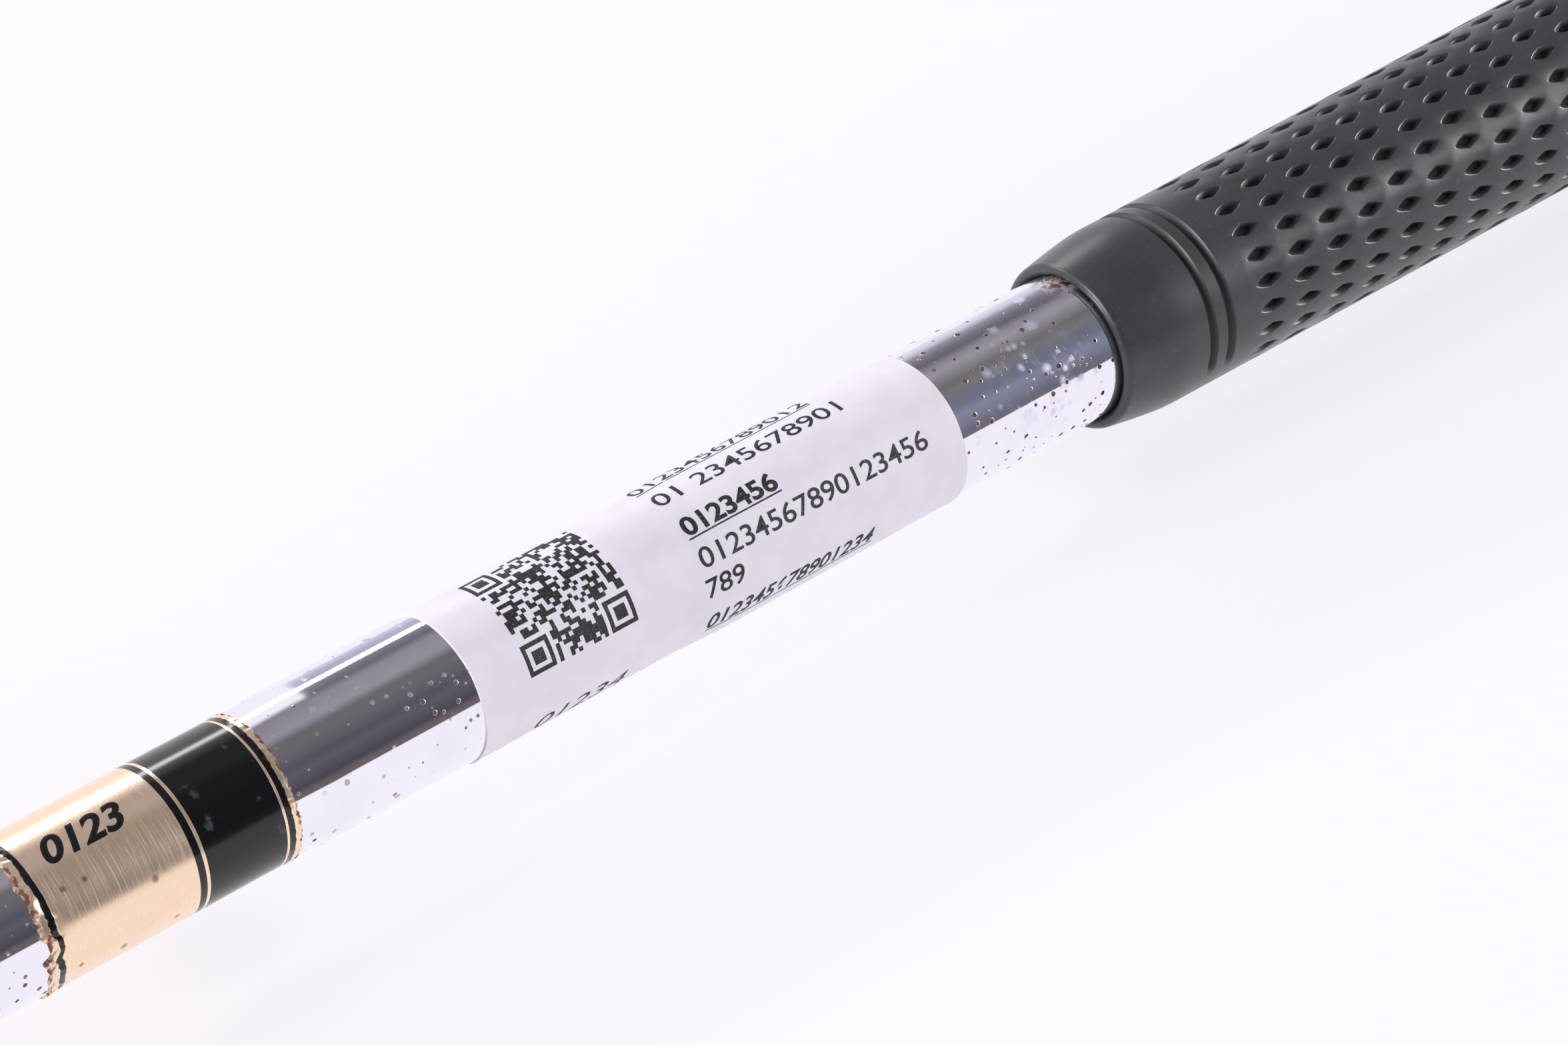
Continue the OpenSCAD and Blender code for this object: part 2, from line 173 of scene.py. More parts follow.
def wall_radius(wall, x):
    """The radius of a turned wall at a distance along the shaft."""
    xs, rs = zip(*wall)
    return float(np.interp(x, xs, rs))


def from_top(angle):
    """An angle round the shaft as -180 to 180."""
    return (angle + 180) % 360 - 180


def round_shaft(x, angle, radius):
    turn = math.radians(angle)
    return Vector((
        x * MM,
        AXIS.y - radius * MM * math.sin(turn),
        AXIS.z + radius * MM * math.cos(turn),
    ))


def shaft_place(point):
    """The distance along the shaft, the angle and the radius of a point."""
    y, z = (AXIS.y - point.y) / MM, (point.z - AXIS.z) / MM
    return point.x / MM, math.degrees(math.atan2(y, z)), math.hypot(y, z)


print("a point on the shaft's top:", round_shaft(0, 0, 7))

# %% [markdown]
# ## The camera first
# The photograph was taken with a long lens from the right of the head, looking down at the club.
# Its place was solved from the shaft's outlines, the rings of the band and the grooves of the
# grip, and its axes have no roll. Named points of the photograph, in a frame 1568 wide, are kept
# here. Some of them place pieces, and all of them are measured again at the end.

# %% Image points and the camera
PHOTO_W, PHOTO_H = 1568.0, 1568.0 * 1568 / 2352
IMAGE_POINTS = {
    "label_right_top": (888.3, 357.6),
    "label_right_bottom": (967.5, 488.9),
    "label_left_top": (403.0, 614.5),
    "label_left_bottom": (482.6, 757.5),
    "band_black_edge": (181.7, 829.9),
    "band_right_edge": (282.6, 772.0),
    "mouth_middle": (1108.2, 330.6),
    "mouth_top": (1017.5, 284.6),
    "mouth_bottom": (1093.5, 425.3),
    "groove_middle": (1199.6, 286.8),
    "groove_end": (1209.5, 366.5),
    "second_groove_end": (1226.4, 358.2),
    "first_dimple": (1258.9, 253.7),
    "fifth_dimple": (1532.3, 105.9),
    "mosaic_middle": (547.0, 602.0),
    "band_number": (82.0, 832.0),
    "stain_patch": (1035.0, 372.0),
}

CAMERA_SPOT = Vector((22.772, -235.811, 291.724)) * MM
CAMERA_TILT = 52.151
CAMERA_TURN = -41.564
CAMERA_LENS = 110.2
SENSOR_WIDTH = 36.0

camera_data = bpy.data.cameras.new("photo_camera")
camera_data.lens = CAMERA_LENS
camera_data.sensor_width = SENSOR_WIDTH
camera_data.sensor_fit = "AUTO"
camera_data.clip_start = 0.01
camera_data.clip_end = 50
camera = linked("photo_camera", camera_data)
camera.location = CAMERA_SPOT
camera.rotation_euler = (math.radians(CAMERA_TILT), 0, math.radians(CAMERA_TURN))
scene.camera = camera
scene.view_settings.view_transform = "Standard"
bpy.context.view_layer.update()
FOCAL = PHOTO_W * camera_data.lens / camera_data.sensor_width


def show_at(point):
    """Where a point shows in the photograph's frame."""
    local = camera.matrix_world.inverted() @ point
    scale = FOCAL / -local.z
    return PHOTO_W / 2 + local.x * scale, PHOTO_H / 2 - local.y * scale


def sight(name, carrier):
    """The place on a finished piece that shows at a named image point."""
    x, y = IMAGE_POINTS[name]
    ahead = Vector((x - PHOTO_W / 2, PHOTO_H / 2 - y, -FOCAL))
    way = (camera.matrix_world.to_3x3() @ ahead).normalized()
    start = camera.matrix_world.translation
    bpy.context.view_layer.update()
    skin = BVHTree.FromObject(carrier, bpy.context.evaluated_depsgraph_get())
    hit = skin.ray_cast(start, way)[0]
    if hit is None:
        corners = [v.co for v in carrier.data.vertices]
        hit = min(corners, key=lambda p: (p - start).cross(way).length)
    return hit


print("camera looks along", [round(v, 3) for v in camera.matrix_world.to_3x3() @ Vector((0, 0, -1))])

# %% [markdown]
# ## Turned pieces
# A shaft, a cap and a ferrule are shapes of revolution. The CAD model has them in flat facets,
# which would show as stripes in chrome. A Screw or Spin modifier could turn a profile, but plain
# mesh code gives exact control of each ring. So a CAD piece is cut along its axis to get its true
# outline, and that outline is turned again in fine steps. A bend function may move each vertex,
# which is how edges get ragged and grooves stop short.

# %% Cut an outline and turn it


def cut_outline(node):
    """The closed outline of a turned CAD node in one half plane, as (x, radius) in mm."""
    mesh = bmesh.new()
    mesh.from_mesh(nodes[node].data)
    bmesh.ops.remove_doubles(mesh, verts=mesh.verts, dist=1e-6)
    cut = bmesh.ops.bisect_plane(
        mesh, geom=[*mesh.verts, *mesh.edges, *mesh.faces], dist=1e-7,
        plane_co=AXIS, plane_no=(0, 1, 0),
    )["geom_cut"]
    links = {}
    for edge in cut:
        if isinstance(edge, bmesh.types.BMEdge):
            a, b = edge.verts
            if min(a.co.z, b.co.z) < AXIS.z - 1e-4 and max(a.co.z, b.co.z) < AXIS.z + 1e-6:
                links.setdefault(a, []).append(b)
                links.setdefault(b, []).append(a)
    start = min(links, key=lambda v: (round(v.co.x, 6), v.co.z))
    loop, last = [start], None
    while True:
        onward = [v for v in links[loop[-1]] if v is not last]
        last = loop[-1]
        if not onward or onward[0] is start:
            break
        loop.append(onward[0])
    outline = [(v.co.x / MM, (AXIS.z - v.co.z) / MM) for v in loop]
    mesh.free()
    return outline


def turned(name, outline, around, bend=None, start_angle=0.0):
    """A closed skin: the outline's points turned round the shaft's axis, ring by ring."""
    verts = []
    for x, r in outline:
        for j in range(around):
            angle = start_angle + 360 * j / around
            place = bend(x, r, angle) if bend else (x, r)
            verts.append(round_shaft(place[0], angle, place[1]))
    return finished(name, mesh_of(name, verts, ring_faces(len(outline), around, closed=True)))


def finished(name, data, sharp=35):
    """Makes an object of a mesh: faces outwards, smooth, with sharp edges kept sharp."""
    with edited(data) as shape:
        bmesh.ops.recalc_face_normals(shape, faces=shape.faces)
        if shape.calc_volume(signed=True) < 0:
            bmesh.ops.reverse_faces(shape, faces=shape.faces)
    data.shade_smooth()
    data.set_sharp_from_angle(angle=math.radians(sharp))
    return linked(name, data)


def stand_in(piece, slot, *replaced):
    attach(piece, "root")
    if replaced:
        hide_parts(*replaced)
    return piece


shaft_outline = cut_outline("shaft")
print("the shaft's outline has", len(shaft_outline), "points")

# %% [markdown]
# ## The shaft
# A stepped shaft is drawn through dies, so each step is a short cone with soft shoulders. The
# shoulders matter: they bend the reflections into the small hooks that the photograph shows
# beside the band. The CAD corners are kept, and the wall is only averaged over a short reach.

# %% Turn the shaft
ROUND_REACH = 1.0
STATION_PITCH = 0.5
SHAFT_AROUND = 256


def walls(outline):
    """A tube's outline as its outer and inner wall, each from low to high x."""
    far = max(range(len(outline)), key=lambda i: (round(outline[i][0], 2), outline[i][1]))
    outer, inner = outline[:far + 1], outline[:far:-1]
    if np.mean([r for x, r in outer]) < np.mean([r for x, r in inner]):
        return walls([outline[0], *outline[:0:-1]])
    return outer, inner


def soft_shoulders(wall):
    xs, rs = zip(*wall)
    stations = {xs[0], xs[-1]}
    for x in xs[1:-1]:
        stations.update(round(x + k * STATION_PITCH, 3) for k in range(-3, 4))
    stations = sorted(x for x in stations if xs[0] <= x <= xs[-1])
    spread = np.linspace(-ROUND_REACH, ROUND_REACH, 7)
    return [(x, float(np.interp(x + spread, xs, rs).mean())) for x in stations]


shaft_outer, shaft_inner = walls(shaft_outline)
shaft_outer = soft_shoulders(shaft_outer)
shaft_piece = turned("shaft_tube", [*shaft_outer, *shaft_inner[::-1]], SHAFT_AROUND)
print("shaft rings:", len(shaft_outer) + len(shaft_inner))


shaft_radius = functools.partial(wall_radius, shaft_outer)

# %% [markdown]
# ## The foil band
# The band is a strip of gold foil with black print, rolled hot on to the shaft. It has pulled
# loose at both ends, where it is wrinkled, ragged and brown with rust from below. Painting that
# in a material would leave the edge straight, so the rings near the ends are moved by noise that
# closes on itself round the shaft, and each printed field gets its own faces.

# %% Make the foil band
band_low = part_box("shaft_band")[0].x / MM
band_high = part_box("shaft_band")[1].x / MM
BAND_SKIN = 0.08
# Where each printed field ends, in mm from the band's lower edge, and whether it is black
BAND_FIELDS = [
    (0.95, False), (1.55, True), (15.56, False), (16.28, True), (16.63, False),
    (24.87, True), (25.13, False), (25.76, True), (band_high - band_low, False),
]


# How far the noise moves a loose edge in mm, how often round the shaft, and its seed
LOW_WAVES = ((0.45, 5, 1.5), (0.35, 15, 4.5))
HIGH_WAVES = ((0.14, 8, 7.5), (0.22, 22, 9.5))
LOW_REACH, HIGH_REACH = 2.0, 1.1
# The torn stretch of the lower edge, in degrees, and how much further it reaches
TEAR_FROM, TEAR_TO, TEAR_SOFT, TEAR_REACH = 40, 130, 40, 1.2


def ring_noise(angle, turns, seed):
    """Noise that closes on itself round the shaft, from -1 to 1."""
    a = math.radians(angle)
    return noise.noise(Vector((math.cos(a) * turns, math.sin(a) * turns, seed)))


def ease(value):
    value = max(0.0, min(1.0, value))
    return value * value * (3 - 2 * value)


def band_wear(x, angle):
    """How far a place on the band has come loose, 0 to 1, at its lower and upper end."""
    tear = 0.0
    if angle < 180:
        tear = TEAR_REACH * ease((angle - TEAR_FROM) / TEAR_SOFT) * ease((TEAR_TO - angle) / TEAR_SOFT)
    low = ease(1 - (x - band_low) / (LOW_REACH + tear))
    high = ease(1 - (band_high - x) / HIGH_REACH)
    return low, high


def crumple(x, r, angle):
    angle = from_top(angle)
    low, high = band_wear(x, angle)
    along = low * sum(size * ring_noise(angle, turns, seed) for size, turns, seed in LOW_WAVES)
    along += high * sum(size * ring_noise(angle, turns, seed) for size, turns, seed in HIGH_WAVES)
    lift = low * (0.10 + 0.26 * ring_noise(angle, 9, x))
    lift += high * (0.04 + 0.14 * ring_noise(angle, 14, x))
    on_top = r > shaft_radius(x) + BAND_SKIN / 2
    return x + along, r + (max(0.0, lift) if on_top else 0.0)


field_ends = [end for end, black in BAND_FIELDS]
band_stations = sorted({
    0.0, *field_ends,
    *(round(0.22 * k, 2) for k in range(1, 16)),
    *(4 + 1.5 * k for k in range(14)),
    *(round(field_ends[-1] - 0.18 * k, 2) for k in range(1, 8)),
})
band_top = [(band_low + s, shaft_radius(band_low + s) + BAND_SKIN) for s in band_stations]
band_under = [(x, shaft_radius(x) - 0.01) for x, r in band_top]
BAND_AROUND = 288
band_piece = turned("foil_band", [*band_top, *band_under[::-1]], BAND_AROUND, crumple)
for ring in range(len(band_top) - 1):
    middle = (band_stations[ring] + band_stations[ring + 1]) / 2
    black = next(is_black for end, is_black in BAND_FIELDS if middle < end)
    for j in range(BAND_AROUND):
        band_piece.data.polygons[ring * BAND_AROUND + j].material_index = int(black)
wear = band_piece.data.attributes.new("wear", "FLOAT", "POINT")
for vertex, value in zip(band_piece.data.vertices, wear.data):
    x, angle, r = shaft_place(vertex.co)
    value.value = max(band_wear(x, angle))
print("foil band faces:", len(band_piece.data.polygons))

# %% [markdown]
# ## The paper label
# A stock label is a strip of coated paper wrapped round the shaft, with a lap at the back where
# its two ends meet. It is turned from the CAD outline too, with a slight rise at the lap and at
# the edges, where the glue has let go.

# %% Make the paper label
label_outer = walls(cut_outline("stock_label"))[0]
label_radius = functools.partial(wall_radius, label_outer)
# The lap's place and width in degrees, and its height and that of the loose edges in mm
LAP_ANGLE, LAP_TURN = -112.0, 26
LAP_RISE, EDGE_RISE, EDGE_REACH, EDGE_SLIP = 0.1, 0.05, 1.5, 0.12
label_low, label_high = label_outer[0][0], label_outer[-1][0]


def wrapped(x, r, angle):
    angle = from_top(angle)
    outside = r > label_radius(x) - 0.05
    edge = max(ease(1 - (x - label_low) / EDGE_REACH), ease(1 - (label_high - x) / EDGE_REACH))
    lap = ease((angle - LAP_ANGLE) / 1.5) * ease((LAP_ANGLE + LAP_TURN - angle) / 20)
    rise = LAP_RISE * lap + EDGE_RISE * edge * (0.6 + ring_noise(angle, 2, 3.5))
    slip = EDGE_SLIP * edge * ring_noise(angle, 1.5, 6.5)
    return x + slip, r + (rise if outside else 0.0)


label_stations = sorted({
    label_low, label_high,
    *(label_low + s for s in (0.4, 0.8, 1.5, 6, 12, 18)),
    *(label_high - s for s in (0.4, 0.8, 1.5, 6, 12, 18, 24)),
    *(x for x, r in soft_shoulders(label_outer)),
})
label_top = [(x, label_radius(x)) for x in label_stations]
label_back = (label_high, *label_stations[-2:0:-1], label_low)
label_under = [(x, shaft_radius(x) - 0.005) for x in label_back]
label_piece = turned("paper_label", [*label_top, *label_under], SHAFT_AROUND, wrapped)
print("label from", round(label_low, 2), "to", round(label_high, 2))

# %% [markdown]
# ## Print on the label and the band
# The real label carries a scan code and lines of text, and the band a bold marking. None of that
# is copied: the code becomes blocks thrown by a seeded dice, and each line becomes plain digits
# of the same size. Digits start as a flat text object. The mesh of a glyph has only outline
# points, so it is cut into strips before it is rolled, or it would sink into the paper.

# %% Roll digits on to the shaft
STRIP, SLICE = 0.3, 1.0
INK = 0.014
RULE_GAP, RULE_BOLD, RULE_FINE = 0.32, 0.16, 0.1
NUMBER_LENGTH = 8.5


def rolled_digits(name, lines, radius_at):
    """Digits rolled on to the shaft. A line is its text, x from and to, angle, height and looks."""
    parts = bmesh.new()
    for text, x_from, x_to, angle, height, bold, slant, ruled in lines:
        mesh = flat_digits(name, text, offset=bold, shear=slant)
        line = bmesh.new()
        line.from_mesh(mesh)
        bpy.data.meshes.remove(mesh)
        bmesh.ops.remove_doubles(line, verts=line.verts, dist=1e-5)
        low = [min(v.co[i] for v in line.verts) for i in (0, 1)]
        high = [max(v.co[i] for v in line.verts) for i in (0, 1)]
        for v in line.verts:
            v.co.x = x_from + (x_to - x_from) * (v.co.x - low[0]) / (high[0] - low[0])
            v.co.y = height * ((v.co.y - low[1]) / (high[1] - low[1]) - 0.5)
        if ruled:
            foot = -height * 0.5 - RULE_GAP
            top = foot + (RULE_BOLD if bold else RULE_FINE)
            corners = [(x_from, foot), (x_to, foot), (x_to, top), (x_from, top)]
            line.faces.new([line.verts.new((x, y, 0)) for x, y in corners])
        cuts = [((0, cut, 0), (0, 1, 0)) for cut in np.arange(-height, height, STRIP)]
        cuts += [((cut, 0, 0), (1, 0, 0)) for cut in np.arange(x_from, x_to, SLICE)]
        for spot, way in cuts:
            whole = [*line.verts, *line.edges, *line.faces]
            bmesh.ops.bisect_plane(line, geom=whole, plane_co=spot, plane_no=way)
        bmesh.ops.recalc_face_normals(line, faces=line.faces)
        for face in line.faces:
            if face.normal.z < 0:
                face.normal_flip()
        top = bmesh.ops.extrude_face_region(line, geom=line.faces[:])["geom"]
        for v in top:
            if isinstance(v, bmesh.types.BMVert):
                v.co.z = 1.0
        for v in line.verts:
            r = radius_at(v.co.x) - INK / 2 + INK * v.co.z
            v.co = round_shaft(v.co.x, angle - math.degrees(v.co.y / r), r)
        piece = bpy.data.meshes.new(name)
        line.to_mesh(piece)
        line.free()
        parts.from_mesh(piece)
        bpy.data.meshes.remove(piece)
    data = bpy.data.meshes.new(name)
    parts.to_mesh(data)
    parts.free()
    return finished(name, data)


# Distances are from the grip's mouth, so that the print keeps its place on the club
LABEL_LINES = [
    ("0123456789012", -53.4, -31.8, -28.0, 1.9, 0.008, 0.0, True),
    ("01 2345678901", -53.1, -30.3, -2.5, 1.9, 0.006, 0.0, False),
    ("0123456", -53.0, -41.7, 27.5, 2.0, 0.03, 0.0, True),
    ("01234567890123456", -53.0, -24.8, 52.5, 2.0, 0.008, 0.0, False),
    ("789", -53.3, -48.8, 75.0, 2.0, 0.008, 0.0, False),
    ("012345678901234", -53.3, -32.6, 104.5, 1.9, 0.02, 0.25, True),
    ("01234", -73.3, -62.6, 117.0, 2.0, 0.0, 0.25, False),
]
label_lines = [(t, MOUTH + a, MOUTH + b, *rest) for t, a, b, *rest in LABEL_LINES]
label_print = rolled_digits("label_digits", label_lines, label_radius)

number_x, number_angle, _ = shaft_place(sight("band_number", band_piece))
half = NUMBER_LENGTH / 2
band_line = ("0123", number_x - half, number_x + half, number_angle, 2.9, 0.03, 0.3, False)
band_print = rolled_digits("band_digits", [band_line], lambda x: shaft_radius(x) + BAND_SKIN)
print("digit faces:", len(label_print.data.polygons), len(band_print.data.polygons))

# %% [markdown]
# ## Rolling with Geometry Nodes
# Two more things repeat on the shaft: the blocks of the scan code and the dimples of the grip.
# Both are laid out flat, with x in mm along the shaft, y in degrees round it and z in mm above
# the surface. One small set of nodes then rolls the flat layout on to a cone. This keeps each
# layout easy to read, and sizes are named inputs of the modifier.

# %% Nodes that roll a flat layout on to the shaft


def new_tree(name, sizes):
    """A geometry tree with a mesh input, named inputs and a mesh output."""
    tree = bpy.data.node_groups.new(name, "GeometryNodeTree")
    tree.interface.new_socket("Geometry", in_out="INPUT", socket_type="NodeSocketGeometry")
    for label, kind in sizes.items():
        tree.interface.new_socket(label, in_out="INPUT", socket_type=kind)
    tree.interface.new_socket("Geometry", in_out="OUTPUT", socket_type="NodeSocketGeometry")
    add = functools.partial(add_node, tree)
    return tree, add, add("NodeGroupInput").outputs


CONE_SIZES = dict.fromkeys(
    ("Low end", "High end", "Low radius", "High radius", "Axis y", "Axis z"), "NodeSocketFloat",
)


def cone(low, high, low_radius, high_radius):
    """The inputs of a tree that rolls its layout on to a cone."""
    return dict(zip(CONE_SIZES, (low, high, low_radius, high_radius, AXIS.y, AXIS.z)))


def roll_up(add, given, geometry):
    flat = add("GeometryNodeInputPosition")
    place = add("ShaderNodeSeparateXYZ", {"Vector": flat}).outputs
    ends = [given[end] for end in ("Low end", "High end", "Low radius", "High radius")]
    surface = add("range", place["X"], *ends, clamp=False)
    radius = add("MULTIPLY", add("ADD", surface, place["Z"]), MM)
    angle = add("RADIANS", place["Y"])
    y = add("SUBTRACT", given["Axis y"], add("MULTIPLY", radius, add("SINE", angle)))
    z = add("MULTIPLY", radius, add("COSINE", angle))
    x, z = add("MULTIPLY", place["X"], MM), add("ADD", given["Axis z"], z)
    rolled = add("ShaderNodeCombineXYZ", {"X": x, "Y": y, "Z": z})
    return add("GeometryNodeSetPosition", {"Geometry": geometry, "Position": rolled})


def close_tree(add, given, geometry):
    """Realizes the geometry, sets its material and links the output."""
    real = add("GeometryNodeRealizeInstances", {"Geometry": geometry})
    painted = add("GeometryNodeSetMaterial", {"Geometry": real, "Material": given["Material"]})
    add("NodeGroupOutput", {"Geometry": painted})


def baked(name, base, tree, values):
    """Runs a tree on a mesh with these inputs, and returns the result as a plain mesh."""
    carrier = linked(name, base)
    modifier = carrier.modifiers.new(name, "NODES")
    modifier.node_group = tree
    for item in tree.interface.items_tree:
        if item.item_type == "SOCKET" and item.in_out == "INPUT" and item.name in values:
            modifier[item.identifier] = values[item.name]
    result = evaluated_mesh(carrier)
    bpy.data.objects.remove(carrier)
    return result


# %% [markdown]
# ## The block mosaic
# A thermal printer prints the scan code as square blocks. Points are laid on a square grid where
# a seeded dice says ink, and each point gets one thin block, a little wider than its place, so
# that no light shows between neighbours. The three corner marks are the same blocks, set by rule
# and not by dice.

# %% Make the block mosaic
BLOCKS = 29
MOSAIC_SIZE = 12.6
BLOCK_PITCH = MOSAIC_SIZE / BLOCKS
CORNER = 7
MOSAIC_SEED = 11
INK_SHARE = 0.56


def inked(column, row, dice):
    """Whether one block of the mosaic is printed."""
    for left, low in ((0, 0), (0, BLOCKS - CORNER), (BLOCKS - CORNER, 0)):
        i, j = column - left, row - low
        if -1 <= i <= CORNER and -1 <= j <= CORNER:
            out = max(abs(i - CORNER // 2), abs(j - CORNER // 2))
            return out == 3 or out <= 1
    return dice < INK_SHARE


def mosaic_points(centre_x, centre_angle, radius):
    dice = random.Random(MOSAIC_SEED)
    middle = (BLOCKS - 1) / 2
    places = []
    for column in range(BLOCKS):
        for row in range(BLOCKS):
            if inked(column, row, dice.random()):
                turn = math.degrees((row - middle) * BLOCK_PITCH / radius)
                places.append((centre_x + (column - middle) * BLOCK_PITCH, centre_angle - turn, 0.0))
    return mesh_of("mosaic_points", places)


def mosaic_tree():
    tree, add, given = new_tree("block_mosaic", {
        "Block length": "NodeSocketFloat", "Block turn": "NodeSocketFloat",
        "Ink": "NodeSocketFloat", "Material": "NodeSocketMaterial", **CONE_SIZES,
    })
    sides = {"X": given["Block length"], "Y": given["Block turn"], "Z": given["Ink"]}
    block = add("GeometryNodeMeshCube", {"Size": add("ShaderNodeCombineXYZ", sides)})
    points = add("GeometryNodeMeshToPoints", {"Mesh": given["Geometry"]})
    laid = add("GeometryNodeInstanceOnPoints", {"Points": points, "Instance": block})
    real = add("GeometryNodeRealizeInstances", {"Geometry": laid})
    close_tree(add, given, roll_up(add, given, real))
    return tree


# %% [markdown]
# ## Materials of the pieces in view
# Each material starts from what the real one is and how it was made. Patterns read Object
# coordinates, which are metres in the club's own frame, so a scale of 1000 is one per mm. Noise
# that runs round the shaft is squeezed along x and left long in y and z. A value that is the same
# all over is set on the shader's own socket, because the export keeps only that.

# %% Helpers for materials


def new_material(name):
    made = bpy.data.materials.new(name)
    made.use_nodes = True
    made.node_tree.nodes.clear()
    return made, functools.partial(add_node, made.node_tree)


def object_place(add, stretch=(1, 1, 1)):
    """Object coordinates in mm, each stretched by a factor."""
    place = add("ShaderNodeTexCoord").outputs["Object"]
    return add("mapping", place, [1 / MM * s for s in stretch])


def spots(add, place, scale, share, radius, edge):
    """Small round spots: Voronoi cells, of which only a share holds one, 0 to 1."""
    cells = add("ShaderNodeTexVoronoi", {"Vector": place, "Scale": scale})
    parts = add("ShaderNodeSeparateColor", {"Color": cells.outputs["Color"]}).outputs
    chosen = add("LESS_THAN", parts[0], share)
    reach = add("MULTIPLY", parts[1], radius)
    inside = add("range", add("SUBTRACT", reach, cells.outputs["Distance"]), 0.0, edge)
    return add("MULTIPLY", chosen, inside)


def cloud(add, place, scale, low, high, detail=2.0):
    """Noise from 0 to 1 between two levels, for patches with soft edges."""
    made = add("noise", place, scale, detail)
    return add("range", made, low, high, interpolation_type="SMOOTHSTEP")


def near(add, place, centre, reach):
    """1 at a place on the object, 0 beyond a reach in mm."""
    away = add("vector", place, [c / MM for c in centre], operation="DISTANCE")
    return add("range", away, reach, reach * 0.35, interpolation_type="SMOOTHSTEP")


# %% [markdown]
# ### Chrome plate
# Decorative chrome is a bright, slightly blue metal film over nickel. On old clubs it is pitted:
# rust comes up from the steel in brown points, each with a pale ring, and dried water leaves
# white marks. The pits are about 0.2 to 0.5 mm wide. They are one material with the chrome,
# because they are holes in it: brown and dull where the metal is gone, bright between them.

# %% Chrome with rust pits and water marks


def chrome_plate():
    material, add = new_material("pitted_chrome_plate")
    place = object_place(add)
    stain_spot = sight("stain_patch", shaft_piece)
    by_mouth = near(add, place, round_shaft(MOUTH - 6, 35, 7), 30)
    crowd = add("ADD", cloud(add, place, 0.12, 0.42, 0.6), by_mouth)
    fine = add("MULTIPLY", spots(add, place, 1.25, 0.4, 0.4, 0.08), crowd)
    pits = add("MULTIPLY", spots(add, place, 0.62, 0.5, 0.26, 0.06), add("ADD", by_mouth, 0.45))
    rust = add("MAXIMUM", fine, pits)
    rings = add("MULTIPLY", spots(add, place, 0.5, 0.42, 0.5, 0.3), by_mouth)
    by_stain = near(add, place, stain_spot, 8)
    specks = add("MULTIPLY", spots(add, place, 0.9, 0.75, 0.5, 0.4), by_stain)
    patch = add("MULTIPLY", cloud(add, place, 0.55, 0.5, 0.78, 4.0), near(add, place, stain_spot, 7))
    marks = add("MAXIMUM", specks, add("MULTIPLY", patch, 0.6))
    marks = add("MAXIMUM", add("MULTIPLY", rings, 0.8), marks)
    by_lip = near(add, place, round_shaft(MOUTH - 0.4, -12, 7.6), 3.0)
    lip_rust = add("MULTIPLY", cloud(add, place, 1.1, 0.42, 0.6, 4.0), by_lip)
    rust = add("MAXIMUM", rust, lip_rust)
    veil = cloud(add, place, 0.2, 0.35, 0.75)
    rust_tint = add("ramp", add("noise", place, 2.5), stops=[(0.3, "#3A2A1E"), (0.7, "#85593C")])
    bright = add("mix", veil, srgb("#F4F2FB"), srgb("#EFEDF8"))
    stained = add("mix", add("MULTIPLY", marks, 0.8), bright, srgb("#A9B2D2"))
    colour = add("mix", rust, stained, rust_tint)
    dull = add("ADD", add("MULTIPLY", marks, 0.5), add("MULTIPLY", rust, 0.6))
    add("output", add("principled", {
        "Base Color": colour,
        "Metallic": add("SUBTRACT", 1.0, add("MAXIMUM", rust, add("MULTIPLY", marks, 0.55))),
        "Roughness": add("ADD", dull, 0.055),
        "Normal": add("bump", add("MAXIMUM", rust, marks), 0.03 * MM, 0.5),
    }))
    return material


# %% [markdown]
# ### Gold foil and black print
# The band is hot stamping foil: a thin aluminium film under gold lacquer, with fine hairlines that
# run round the shaft from the roller. The hairlines only show where a light edge is reflected, so
# they are changes of roughness and a very faint bump, about ten to a mm. The print is a glossy
# black lacquer. Loose edges are brown where rust has crept under them.

# %% Gold foil and black lacquer


def rust_edge(add, place, colour):
    """Brown stains where the band's wear attribute says that it has come loose."""
    worn = add("ShaderNodeAttribute", attribute_name="wear").outputs["Fac"]
    patchy = add("noise", place, 1.3, 3.0)
    creep = add("ADD", worn, add("MULTIPLY", patchy, 0.9))
    brown = add("range", creep, 1.36, 1.5)
    tint = add("ramp", patchy, stops=[(0.35, "#2A1B14"), (0.62, "#7A4527")])
    return brown, add("mix", brown, colour, tint)


def gold_foil():
    material, add = new_material("gold_stamping_foil")
    place = object_place(add)
    hairs = add("noise", object_place(add, (9, 0.25, 0.25)), 1.0, 2.0)
    tone = add("noise", place, 0.25)
    colour = add("mix", tone, srgb("#FBDCBC"), srgb("#FFE6CC"))
    fleck = add("MULTIPLY", spots(add, place, 0.5, 0.4, 0.3, 0.1), 0.8)
    colour = add("mix", fleck, colour, srgb("#9A6A44"))
    brown, colour = rust_edge(add, place, colour)
    rough = add("range", hairs, 0.4, 0.75, 0.2, 0.36)
    add("output", add("principled", {
        "Base Color": colour, "Anisotropic": 0.3, "Anisotropic Rotation": 0.25,
        "Tangent": add("ShaderNodeTangent", direction_type="RADIAL", axis="X"),
        "Metallic": add("MULTIPLY", add("SUBTRACT", 1.0, brown), 0.8),
        "Roughness": add("ADD", rough, add("MULTIPLY", brown, 0.4)),
        "Normal": add("bump", hairs, 0.004 * MM, 0.14),
    }))
    return material


